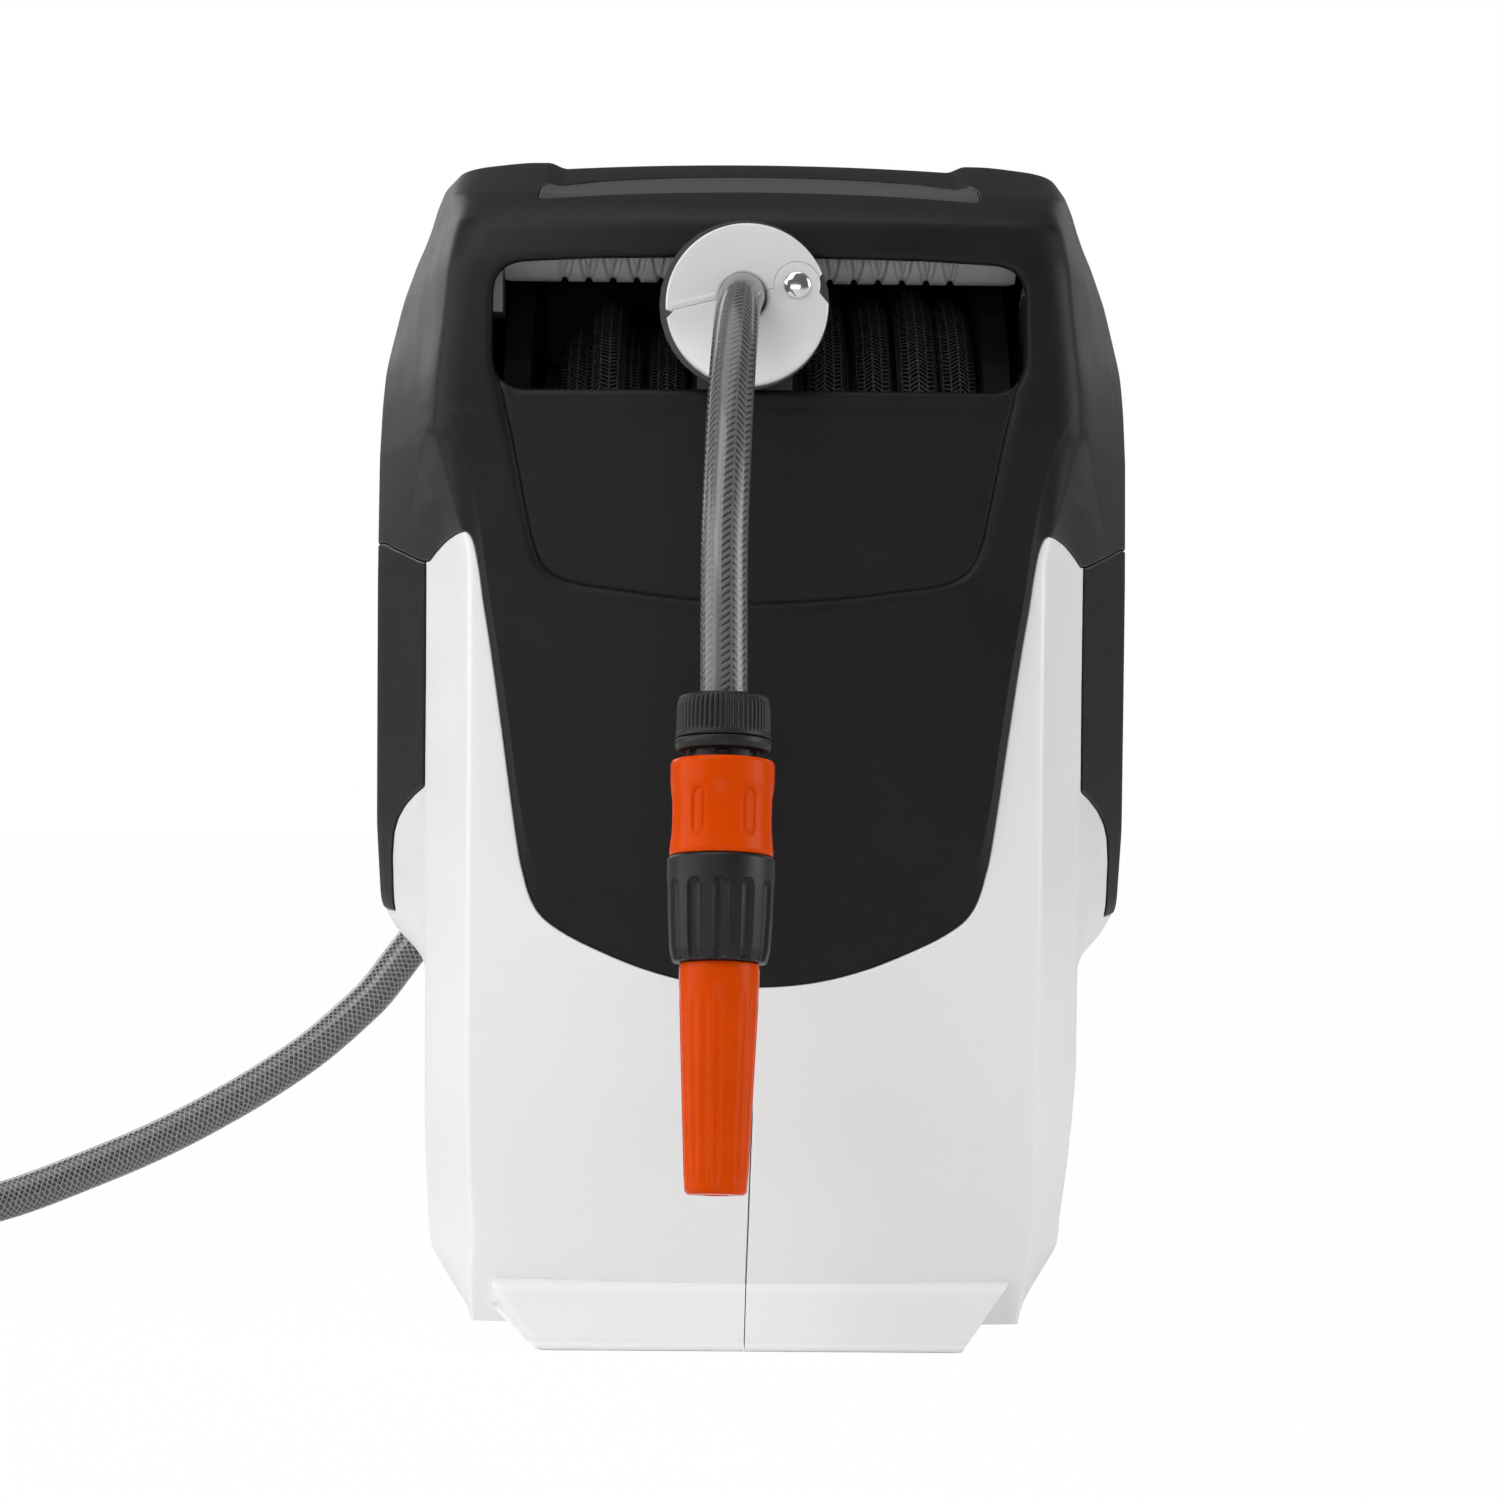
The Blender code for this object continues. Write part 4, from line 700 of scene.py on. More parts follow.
    # top: rings that shrink to a line
    cap = []
    last = grid[-1]
    for t in (np.arange(1, 27) / 26.0):
        g = last.copy()
        g[:, 0] = last[:, 0] * (1 - 0.10 * t)
        g[:, 1] = last[:, 1] * (1 - t) + (-0.020) * t
        cap.append(g)
    # underside: rings that shrink inwards at the bottom
    foot_rows = []
    first = grid[0]
    for t in (1.0, 0.7, 0.45, 0.25, 0.12, 0.05, 0.02):
        g = first.copy()
        g[:, 0] = first[:, 0] * (1 - 0.5 * t)
        g[:, 1] = first[:, 1] * (1 - 0.6 * t)
        g[:, 2] = first[:, 2] - 0.0008 * min(1.0, t * 12)
        foot_rows.append(g)
    grid = np.concatenate([np.array(foot_rows), grid, np.array(cap)], 0)
    # soften the rim between the last level and the flat top
    lo = len(foot_rows) + n - 12
    for _ in range(10):
        block = grid[lo - 1:lo + 26]
        grid[lo:lo + 25] = 0.25 * block[:-2] + 0.5 * block[1:-1] + 0.25 * block[2:]
    rows_n, cols_n = grid.shape[:2]
    du = np.roll(grid, -1, 1) - np.roll(grid, 1, 1)
    dv = np.gradient(grid, axis=0)
    nrm = np.cross(du, dv)
    length = np.linalg.norm(nrm, axis=2, keepdims=True)
    nrm = np.where(length > 1e-12, nrm / np.maximum(length, 1e-12), np.array([0, 0, 1.0]))
    idx = np.arange(rows_n * cols_n).reshape(rows_n, cols_n)
    quads = np.stack([idx[:-1], np.roll(idx, -1, 1)[:-1], np.roll(idx, -1, 1)[1:], idx[1:]], 2).reshape(-1, 4)
    return grid.reshape(-1, 3), nrm.reshape(-1, 3), quads


S_CO, S_NO, S_QUADS = housing_surface()
# ---------------------------------------------------------------- outlines (mm, front view x,z unless said)
def mirrored(half):
    """half: points with x<0 from top to the middle line at the bottom -> whole line left to right."""
    half = [tuple(p) for p in half]
    return half + [(-x, z) for x, z in reversed(half) if abs(x) > 1e-9]


WING = [(-175, 303.6), (-158, 303.4), (-147.4, 302.4), (-140.9, 298.9), (-133.1, 295.0), (-128.0, 292.6), (-124.6, 291.8),
        (-122.6, 293.3), (-120.8, 294.9), (-116.4, 298.0), (-112.0, 299.8), (-108.6, 300.4), (-106.2, 300.0),
        (-104.6, 298.0), (-103.2, 293.5), (-101.6, 285.0), (-100.2, 275.0), (-97.1, 256.4), (-93.4, 231.3),
        (-89.9, 206.2), (-86.5, 183.0), (-84.9, 175.5), (-82.9, 168.1), (-80.4, 162.6), (-76.7, 158.2), (-70.5, 153.9),
        (-62.8, 149.8), (-49.3, 143.9), (-39.4, 140.3), (-27.2, 137.0), (-14.0, 134.9), (0, 134.2)]



def eased(points):
    """The same line with its straight pieces turned into smooth ones."""
    return np.concatenate([points[:1], catmull(points, 4)[1:]])


COVER_OUT = np.concatenate([eased(np.array(mirrored(WING), float)), [(175, 500), (-175, 500)]]) * MM
BACK_OUT = np.array([(-175, 303.6), (-150, 302.8), (-138, 301.0), (-123.5, 299.0), (-104, 305.0), (104, 305.0),
                     (123.5, 299.0), (138, 301.0), (150, 302.8), (175, 303.6), (175, 500), (-175, 500)]) * MM
INNER_HALF = [(-175, 352), (-124, 349), (-116.5, 345.5), (-112.6, 341.0), (-110.0, 335.5), (-107.4, 329.0),
              (-105.0, 322.0), (-102.7, 311.7), (-100.9, 301.0), (-98.6, 284.0), (-96.9, 273.0), (-93.7, 254.5),
              (-90.0, 230.0), (-86.5, 205.0), (-84.0, 190.5), (-82.4, 184.5), (-79.6, 180.6), (-73.0, 177.4),
              (-60.0, 172.8), (-40.0, 166.0), (-20.0, 160.0), (0, 156.2)]
INNER_OUT = np.concatenate([eased(np.array(mirrored(INNER_HALF), float)), [(175, 500), (-175, 500)]]) * MM
U_HALF = [(-98.2, 420), (-97.4, 385), (-96.4, 366), (-95.2, 356), (-93.6, 348.5), (-90.2, 334), (-86.4, 315), (-83.6, 301.5), (-81.4, 293.5),
          (-78.0, 287.2), (-72.5, 283.3), (-65.0, 281.0), (-50.0, 278.8), (-28.0, 276.0), (0, 274.4)]
U_OUT = eased(np.array(mirrored(U_HALF), float)) * MM
SLOT_OUT = round_poly(np.array([(-97.6, 352.6), (97.6, 352.6), (97.6, 399.0), (60.0, 400.6), (0, 401.2), (-60.0, 400.6),
                                (-97.6, 399.0)]) * MM, [0.0135, 0.0135, 0.0125, 0.05, 0.08, 0.05, 0.0125], 9)
LABEL_OUT = round_poly(np.array([(-82.3, -161.5), (-60, -158.5), (-30, -155.5), (0, -154), (30, -155.5), (60, -158.5),
                                 (82.3, -161.5), (82.3, -140), (79.5, -127), (73.5, -119.5), (60, -113.8),
                                 (36, -111.2), (0, -110.2), (-36, -111.2), (-60, -113.8), (-73.5, -119.5),
                                 (-79.5, -127), (-82.3, -140)]) * MM, 0.004, 4)
GRIP_OUT = round_poly(np.array([(-55.8, 11.7), (55.8, 11.7), (55.8, 88.3), (-55.8, 88.3)]) * MM, 0.006, 6)
SIDE_OUT = round_poly(np.array([(-116.5, 330), (-116.5, 206.5), (-98, 203.2), (-80, 198.8), (-66, 193.6), (-57.5, 187.5),
                                (-52.6, 178), (-51.6, 156.2), (51.6, 156.2), (52.6, 178), (57.5, 187.5), (66, 193.6),
                                (80, 198.8), (98, 203.2), (116.5, 206.5), (116.5, 330)]) * MM,
                      [0.001, 0.001, 0.01, 0.02, 0.02, 0.01, 0.01, 0.004, 0.004, 0.01, 0.01, 0.02, 0.02, 0.01, 0.001,
                       0.001], 5)


def lift(g2, axes):
    g = np.zeros((len(g2), 3))
    g[:, axes[0]], g[:, axes[1]] = g2[:, 0], g2[:, 1]
    return g


def f_cover(p):
    d1, g1 = poly_sdf(COVER_OUT, p[:, [0, 2]])
    d2, g2 = poly_sdf(BACK_OUT, p[:, [0, 2]])
    front = p[:, 1] < 0.0
    d, g = np.where(front, d1, d2), np.where(front[:, None], g1, g2)
    side = np.abs(p[:, 0]) > 0.127
    g3 = lift(g, (0, 2))
    g3[side] = (0, 0, 1)
    return d, g3


def f_not_cover(p):
    d, g = f_cover(p)
    return -d, -g


def f_slot(p):
    d, g = poly_sdf(SLOT_OUT, p[:, [0, 2]])
    far = p[:, 1] > -0.10
    return np.where(far, 1.0, -d), np.where(far[:, None], 0.0, -lift(g, (0, 2)))


def f_grip(p):
    d, g = poly_sdf(GRIP_OUT, p[:, [0, 1]])
    far = p[:, 2] < 0.40
    return np.where(far, 1.0, -d), np.where(far[:, None], 0.0, -lift(g, (0, 1)))


def f_label(p):
    d, g = poly_sdf(LABEL_OUT, p[:, [0, 1]])
    far = (p[:, 2] < 0.40) | (p[:, 1] > -0.05)
    return np.where(far, 1.0, -d), np.where(far[:, None], 0.0, -lift(g, (0, 1)))


def f_side(p):
    d, g = poly_sdf(SIDE_OUT, p[:, [1, 2]])
    far = (np.abs(p[:, 0]) < 0.10) | (np.abs(p[:, 1]) > 0.1195)
    return np.where(far, -1.0, d), np.where(far[:, None], 0.0, lift(g, (1, 2)))


def f_not_side(p):
    d, g = f_side(p)
    return -d, -g


def seam_x(z):
    """The seam between the shells leans a little near the bottom."""
    return -0.0023 * np.clip((0.085 - z) / 0.085, 0, 1)


def f_half(sign):
    def fn(p):
        g = np.zeros_like(p)
        g[:, 0] = sign
        return sign * (p[:, 0] - seam_x(p[:, 2])), g
    return fn


GROMMET_A = V3((-0.1190, 0.1062, 0.1664))
GROMMET_D = V3((-0.63, -0.12, -0.767))
GROMMET_D = GROMMET_D / np.linalg.norm(GROMMET_D)


def f_grommet(p):
    rel = p - GROMMET_A
    rad = rel - (rel @ GROMMET_D)[:, None] * GROMMET_D
    r = np.linalg.norm(rad, axis=1)
    far = np.linalg.norm(rel, axis=1) > 0.055
    return np.where(far, 1.0, r - 0.0119), np.where(far[:, None], 0.0, rad / np.maximum(r, 1e-6)[:, None])


SCREWS = ((-0.100, 0.050), (0.004, 0.0283), (0.060, 0.050))


def f_screws(p):
    d = np.full(len(p), 1.0)
    g = np.zeros_like(p)
    for y, z in SCREWS:
        rel = p[:, [1, 2]] - np.array([y, z])
        r = np.linalg.norm(rel, axis=1)
        here = (p[:, 0] > 0.10) & (r - 0.0047 < d)
        d[here] = (r - 0.0047)[here]
        gg = lift(rel / np.maximum(r, 1e-6)[:, None], (1, 2))
        g[here] = gg[here]
    return d, g


# ---------------------------------------------------------------- relief
def top_relief(co):
    """Height changes of the cover's top: low middle zone with the label, a hump on each side of it."""
    x, y, z = np.abs(co[:, 0]) * 1000, co[:, 1], co[:, 2]
    mid = 0.5 - 1.9 * (x / 76.0) ** 2
    mid = np.where(x < 74, mid, -1.3)
    h = np.where(x < 74, mid, -1.3 + 2.4 * smoothstep(74, 81.5, x))
    h = np.where(x > 86, 1.1 - 1.1 * smoothstep(86, 106, x), h)
    h = np.where(x > 106, 0.0, h)
    weight = smoothstep(0.4235, 0.4380, z) * (1 - smoothstep(-0.055, -0.030, y)) * (co[:, 2] > 0.41)
    return h * MM * weight


def cover_relief(co, no):
    p = co[:, [0, 2]]
    front = 1 - smoothstep(-0.155, -0.115, co[:, 1])
    flank = np.where(np.abs(co[:, 0]) < 0.127, 1.0, 0.0)
    d_in, _ = poly_sdf(INNER_OUT, p)
    d_edge, _ = poly_sdf(COVER_OUT, p)
    out = np.maximum(-d_in, 0.0)
    t = out / np.maximum(out + np.maximum(d_edge, 0), 1e-6)
    rise = 1.8 * (1 - smoothstep(0.295, 0.400, co[:, 2]))
    low = smoothstep(0.20, 0.165, co[:, 2])
    depth = 2.2 + 0.9 * low
    d = rise - depth * t ** (1.0 + 0.35 * low) * (out > 0)
    d = d + 0.22 * np.exp(-((out - 0.0001) / 0.0007) ** 2) * (co[:, 2] < 0.345)
    # recessed panel between slot and lower edge
    d_u, _ = poly_sdf(U_OUT, p)
    fade = 1 - smoothstep(0.346, 0.392, co[:, 2])
    roll = np.clip((d_u + 0.0050) / 0.0050, 0, 1)
    panel = 1 - np.sqrt(np.maximum(1 - roll ** 2, 0))
    d = d - 2.0 * np.where(d_u < 0, panel, 1.0 - 0.42 * smoothstep(0.0, 0.0016, d_u)
                           - 0.25 * smoothstep(0.002, 0.03, d_u)) * fade
    total = no * (d * MM * front * flank)[:, None]
    total[:, 2] += top_relief(co)
    return total


def shell_relief(co, no):
    d = np.full(len(co), -0.55)
    return no * (d * MM)[:, None]


def side_relief(co, no):
    return no * np.full((len(co), 1), 0.0)


def clamp_skin(verts):
    v = verts.copy()
    v[:, 0] = np.clip(v[:, 0], -0.1515, 0.15148)
    v[:, 2] = np.clip(v[:, 2], 0.0, 0.45055)
    return v


def skin_piece(name, node_names, skin, relief, mat, thick=0.0032):
    verts, faces = skin.solid(relief, thick)
    n = len(verts) // 2
    ob = make(name, clamp_skin(verts), faces, mat, "housing", sharp=34.0, normals=False, weld=1.2e-5,
              inner=np.concatenate([np.zeros(n), np.ones(n)]))
    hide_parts(*node_names)
    return ob


full = Skin(S_CO, S_NO, S_QUADS)

def f_line(outline):
    def fn(p):
        d, g = poly_sdf(outline, p[:, [0, 2]])
        far = (p[:, 1] > -0.10) | (p[:, 2] > 0.395)
        return np.where(far, 1.0, d), np.where(far[:, None], 0.0, lift(g, (0, 2)))
    return fn


def f_across(level):
    def fn(p):
        g = np.zeros_like(p)
        g[:, 0] = np.sign(p[:, 0])
        far = (p[:, 2] < 0.4225) | (p[:, 1] > -0.03)
        return np.where(far, 1.0, np.abs(p[:, 0]) - level), np.where(far[:, None], 0.0, g)
    return fn


cover = full.copy()
cover.limit(f_cover(cover.co)[0] > -0.004)
f_panel, f_inner = f_line(U_OUT), f_line(INNER_OUT)
for lev in (-0.0050, -0.0032, -0.0018, -0.0009, -0.00035, 0.0003, 0.0009, 0.0018):
    cover.cut(f_panel, lev, False, 0.00012 if abs(lev) < 0.001 else 0.0002)
cover.known.clear()
for lev in (0.0006, 0.0, -0.0006, -0.0013, -0.0024):
    cover.cut(f_inner, lev, False, 0.00012)
cover.known.clear()
for lev in (0.0740, 0.0765, 0.0790, 0.0815, 0.0850, 0.0885):
    cover.cut(f_across(lev), 0.0, False, 0.0003)
cover.known.clear()
cover.border(f_cover, 0.0008)
cover.border(f_slot, 0.0026, steps=(0.06, 0.18, 0.36, 0.62, 1.0))
cover.border(f_grip, 0.0015)
cover.border(f_label, 0.0005)
cover.level = f_slot
skin_piece("cover_top", ["top_cover"], cover, cover_relief, M_COVER)

for tag, sign in (("left", -1), ("right", 1)):
    side = full.copy()
    side.limit((f_side(side.co)[0] > -0.004) & (side.co[:, 0] * sign > 0))
    side.border(f_side, 0.0008, 0.0002)
    side.border(f_not_cover, 0.0008, 0.0004)
    skin_piece("cover_side_" + tag, [tag + "_side_cover"], side, side_relief, M_SIDE)
    shell = full.copy()
    shell.limit((f_not_cover(shell.co)[0] > -0.004) & (shell.co[:, 0] * sign > -0.004))
    shell.border(f_not_cover, 0.0006, 0.0003)
    shell.border(f_not_side, 0.0006, 0.0002)
    shell.border(f_half(sign), 0.0006, 0.00018, steps=(0.4, 1.0))
    if sign < 0:
        shell.border(f_grommet, 0.0006)
    else:
        shell.border(f_screws, 0.0006)
    skin_piece("shell_" + tag, [tag + "_shell"], shell, shell_relief, M_SHELL)


# label plate: a thin glossy panel set into its recess
def label_piece():
    label = full.copy()
    label.limit((f_label(label.co)[0] < 0.004))
    label.border(lambda p: tuple(-v for v in f_label(p)), 0.0005, 0.0003)

    def relief(co, no):
        out = no * (-0.35 * MM)
        out[:, 2] += top_relief(co)
        return out
    verts, faces = label.solid(relief, 0.0014)
    half = len(verts) // 2
    verts[half:, 2] += top_relief(label.co)
    ob = make("label_panel", verts, faces, M_LABEL, "housing", sharp=34.0, normals=False)
    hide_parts("label_plate")


label_piece()


# floor of the recess under the label plate, so that the gap around it is closed
def label_floor():
    fl = full.copy()

    def grow(p):
        d, g = f_label(p)
        return -d + 0.004, -g
    fl.limit(grow(fl.co)[0] > -0.004)
    fl.cut(grow, 0.0)

    def relief(co, no):
        out = no * (-2.2 * MM)
        out[:, 2] += top_relief(co)
        return out
    verts, faces = fl.solid(relief, 0.0032)
    make("label_recess", verts, faces, M_COVER, "housing", sharp=34.0, normals=False)


label_floor()
# ================================================================ base ridge (foot)
def foot_piece(tag, sign):
    """Half of the ridge along the base: a front that leans back, cut off slantwise at its end."""
    xs = np.concatenate([np.linspace(0.00018, 0.0012, 3), np.linspace(0.004, 0.070, 24), np.linspace(0.0715, 0.0960, 50)])
    zs = np.unique(np.concatenate([np.linspace(0, 0.0026, 8), np.linspace(0.0026, 0.0246, 30)]))

    def line_x(z):                                   # slanted end of the front face
        return np.interp(z, [0.0, 0.0018, 0.0225, 0.0246], [0.0772, 0.0783, 0.0938, 0.0952])

    def end_x(z):                                    # outline of the ridge's end behind it
        if sign < 0:
            return np.interp(z, [0.0, 0.0006, 0.0080, 0.0120, 0.0150, 0.0235, 0.0246],
                             [0.0776, 0.0786, 0.0884, 0.0930, 0.0952, 0.0955, 0.0953])
        return line_x(z) + 0.0007
    rows = []
    for z in zs:
        e = float(end_x(z))
        cols = np.concatenate([xs[xs < e - 0.0250], e - np.linspace(0.0250, 0.0, 46)])
        rows.append(np.interp(np.linspace(0, 1, 74), np.linspace(0, 1, len(cols)), cols))
    X = np.array(rows)
    Zg = np.repeat(zs[:, None], X.shape[1], 1)
    t = Zg / 0.0245
    Y = -0.1766 + 0.0098 * t
    r = 0.0022
    Y = Y + r - np.sqrt(np.maximum(r * r - np.clip(r - Zg, 0, r) ** 2, 0))
    Y = Y + 0.0006 * np.exp(-((Zg - 0.0030) / 0.0006) ** 2)
    # top edge rolls into the face above
    Y = Y + 0.0040 * (1 - np.sqrt(np.maximum(1 - np.clip((Zg - 0.0206) / 0.0040, 0, 1) ** 2, 0)))
    d = X - line_x(Zg)
    rr = 0.0014
    over = np.maximum(d, 0)
    soft = np.where((d > -rr) & (d < rr), (d + rr) ** 2 / (4 * rr), over)
    slope = 1.15 if sign < 0 else 2.4
    Y = Y + soft * slope
    if sign < 0:
        # shallow groove across the slanted end
        g0, g1 = np.array([0.0935, 0.0150]), np.array([0.0862, 0.0075])
        p2 = np.stack([X.ravel(), Zg.ravel()], 1)
        dd = line_dist(np.array([g0, g1]), p2).reshape(X.shape)
        Y = Y + 0.0020 * np.exp(-(dd / 0.0013) ** 2)
    X = X + sign * seam_x(Zg) * (1 - np.clip(X / 0.070, 0, 1))
    m, c = X.shape
    verts = np.stack([X, Y, Zg], 2).reshape(-1, 3)
    back = verts.copy()
    back[:, 1] = 0.168
    idx = np.arange(m * c).reshape(m, c)
    quads = np.stack([idx[:-1, :-1], idx[:-1, 1:], idx[1:, 1:], idx[1:, :-1]], 2).reshape(-1, 4)
    n = m * c
    loop = list(idx[0, :]) + list(idx[1:, -1]) + list(idx[-1, -2::-1]) + list(idx[-2:0:-1, 0])
    faces = quads.tolist() + (quads[:, ::-1] + n).tolist()
    for i, j in zip(loop, loop[1:] + loop[:1]):
        faces.append((j, i, i + n, j + n))
    verts = np.concatenate([verts, back])
    if sign < 0:
        verts[:, 0] *= -1
        faces = [tuple(reversed(f)) for f in faces]
    make("shell_foot_" + tag, verts, faces, M_SHELL, "housing", sharp=34.0)


foot_piece("left", -1)
foot_piece("right", 1)
# ================================================================ tubes and turned pieces
def tube(name, path, r, mat, body, around=28, closed_ends=True, u_shift=0.0, bump=None, ref=(0, 0, 1),
         v0=0.0):
    path = np.asarray(path, float)
    n = len(path)
    tang = np.gradient(path, axis=0)
    tang /= np.linalg.norm(tang, axis=1, keepdims=True)
    nrm = np.zeros_like(path)
    a = np.array(ref, float)
    a = a - (a @ tang[0]) * tang[0]
    nrm[0] = a / np.linalg.norm(a)
    for i in range(1, n):
        v = nrm[i - 1] - (nrm[i - 1] @ tang[i]) * tang[i]
        nrm[i] = v / np.linalg.norm(v)
    bi = np.cross(tang, nrm)
    ang = 2 * np.pi * np.arange(around) / around
    rad = np.full((n, around), r)
    if bump is not None:
        rad = rad + bump
    ring = path[:, None] + rad[:, :, None] * (np.cos(ang)[None, :, None] * nrm[:, None]
                                              + np.sin(ang)[None, :, None] * bi[:, None])
    verts = ring.reshape(-1, 3)
    idx = np.arange(n * around).reshape(n, around)
    nxt = np.roll(idx, -1, 1)
    quads = np.stack([idx[:-1], idx[1:], nxt[1:], nxt[:-1]], 2).reshape(-1, 4)
    d = v0 + np.concatenate([[0], np.cumsum(np.linalg.norm(np.diff(path, axis=0), axis=1))])
    u0 = np.arange(around) / around + u_shift
    u1 = u0 + 1 / around
    uv = np.zeros((n - 1, around, 4, 2), np.float32)
    uv[:, :, 0, 0] = uv[:, :, 1, 0] = u0
    uv[:, :, 2, 0] = uv[:, :, 3, 0] = u1
    uv[:, :, 0, 1] = uv[:, :, 3, 1] = d[:-1, None]
    uv[:, :, 1, 1] = uv[:, :, 2, 1] = d[1:, None]
    faces = [tuple(q) for q in quads]
    uv = uv.reshape(-1, 2)
    if closed_ends:
        faces.append(tuple(idx[0]))
        faces.append(tuple(reversed(idx[-1])))
        caps = np.zeros((2 * around, 2), np.float32)
        caps[:around, 0], caps[around:, 0] = 0.5 / 14, 0.5 / 14
        uv = np.concatenate([uv, caps])
    return make(name, verts, faces, mat, body, sharp=50.0, uv=uv)


def basis(d, ref=(1.0, 0.0, 0.0)):
    d = V3(d) / np.linalg.norm(d)
    a = V3(ref) - (V3(ref) @ d) * d
    a /= np.linalg.norm(a)
    return a, np.cross(d, a), d


def lathe(name, loop, origin, d, mat, body, n=96, shape=None, ref=(1, 0, 0), closed=True, sharp=38.0):
    """loop: (distance along the axis, radius). shape(s, angle, r) changes the radius."""
    loop = np.asarray(loop, float)
    a, b, c = basis(d, ref)
    th = 2 * np.pi * np.arange(n) / n
    s = np.repeat(loop[:, :1], n, 1)
    r = np.repeat(loop[:, 1:2], n, 1)
    if shape is not None:
        r = shape(s, np.repeat(th[None], len(loop), 0), r)
    pts = V3(origin) + s[..., None] * c + r[..., None] * (np.cos(th)[None, :, None] * a + np.sin(th)[None, :, None] * b)
    m = len(loop)
    idx = np.arange(m * n).reshape(m, n)
    rows = m if closed else m - 1
    faces = []
    for i in range(rows):
        p, q = idx[i], idx[(i + 1) % m]
        faces += [(p[k], p[(k + 1) % n], q[(k + 1) % n], q[k]) for k in range(n)]
    return make(name, pts.reshape(-1, 3), faces, mat, body, sharp=sharp, weld=1e-7)


def dense(pts, step, closed=True):
    pts = [np.array(p, float) for p in pts]
    out = []
    m = len(pts)
    for i in range(m if closed else m - 1):
        a, b = pts[i], pts[(i + 1) % m]
        k = max(1, int(math.ceil(np.linalg.norm(b - a) / step)))
        out += [a + (b - a) * j / k for j in range(k)]
    if not closed:
        out.append(pts[-1])
    return np.array(out)


# ---------------------------------------------------------------- front hose
EXIT = V3((-0.0061, -0.1995, 0.3850))
FIT_TOP = V3((-0.0124, -0.3120, 0.2389))
FIT_DIR = V3((-0.009, -0.145, -0.9894))
FIT_DIR /= np.linalg.norm(FIT_DIR)
HOSE_R = 0.008


def front_path():
    bez = [(EXIT[1], EXIT[2]), (-0.267, 0.385), (FIT_TOP[1] - FIT_DIR[1] * 0.085, FIT_TOP[2] - FIT_DIR[2] * 0.085),
           (FIT_TOP[1], FIT_TOP[2])]
    xs = ((0.0, -0.0061), (0.05, -0.00625), (0.22, -0.0083), (0.52, -0.0109), (0.78, -0.0127), (1.0, FIT_TOP[0]))
    out = []
    for k in range(121):
        t = k / 120
        w = ((1 - t) ** 3, 3 * t * (1 - t) ** 2, 3 * t * t * (1 - t), t ** 3)
        yy = sum(a * b[0] for a, b in zip(w, bez))
        zz = sum(a * b[1] for a, b in zip(w, bez))
        out.append((np.interp(t, [a for a, _ in xs], [b for _, b in xs]), yy, zz))
    p = np.array(out)
    x = p[:, 0].copy()
    for _ in range(30):
        x[1:-1] = (x[:-2] + x[1:-1] + x[2:]) / 3
    p[:, 0] = x
    return np.concatenate([p, [FIT_TOP + FIT_DIR * 0.0182]])


FRONT = resample(front_path(), step=0.0012)
front_hose = tube("hose_front", FRONT, HOSE_R, M_HOSE, "carriage", around=56, u_shift=0.02, ref=(1, 0, 0))
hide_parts("front_hose")

# ---------------------------------------------------------------- leader hose with its coil
CENTRE = V3((-0.427, 0.0722, 0))
N_OUT = V3((0.338, -0.941, 0))
N_OUT /= np.linalg.norm(N_OUT)
T_IN = V3((-0.941, -0.338, 0))
T_IN /= np.linalg.norm(T_IN)
LEADER = [tuple(GROMMET_A + GROMMET_D * 0.0010), tuple(GROMMET_A + GROMMET_D * 0.0187),
          (-0.1449, 0.100, 0.1339), (-0.1575, 0.0949, 0.1169), (-0.1657, 0.0916, 0.1085),
          (-0.1748, 0.0879, 0.1001), (-0.1848, 0.0838, 0.0917), (-0.1964, 0.0791, 0.0835),
          (-0.2091, 0.0738, 0.0753), (-0.2232, 0.0680, 0.0672), (-0.2382, 0.0617, 0.0592),
          (-0.2551, 0.0547, 0.0513), (-0.2744, 0.0465, 0.0435), (-0.2943, 0.0380, 0.0359),
          (-0.3082, 0.0320, 0.0316), (-0.3275, 0.0238, 0.0273)]
Q = CENTRE + N_OUT * 0.080 + V3((0, 0, 0.0219))
JOIN = Q - T_IN * 0.0563
JOIN[2] = 0.0250
STUB_M = Q - T_IN * 0.028
STUB_M[2] = 0.0228


def coil_point(turn, r, z):
    """turn in degrees from Q, the way the hose runs."""
    a = math.radians(turn)
    d = N_OUT * math.cos(a) + T_IN * math.sin(a)
    return tuple(CENTRE + d * r + V3((0, 0, z)))


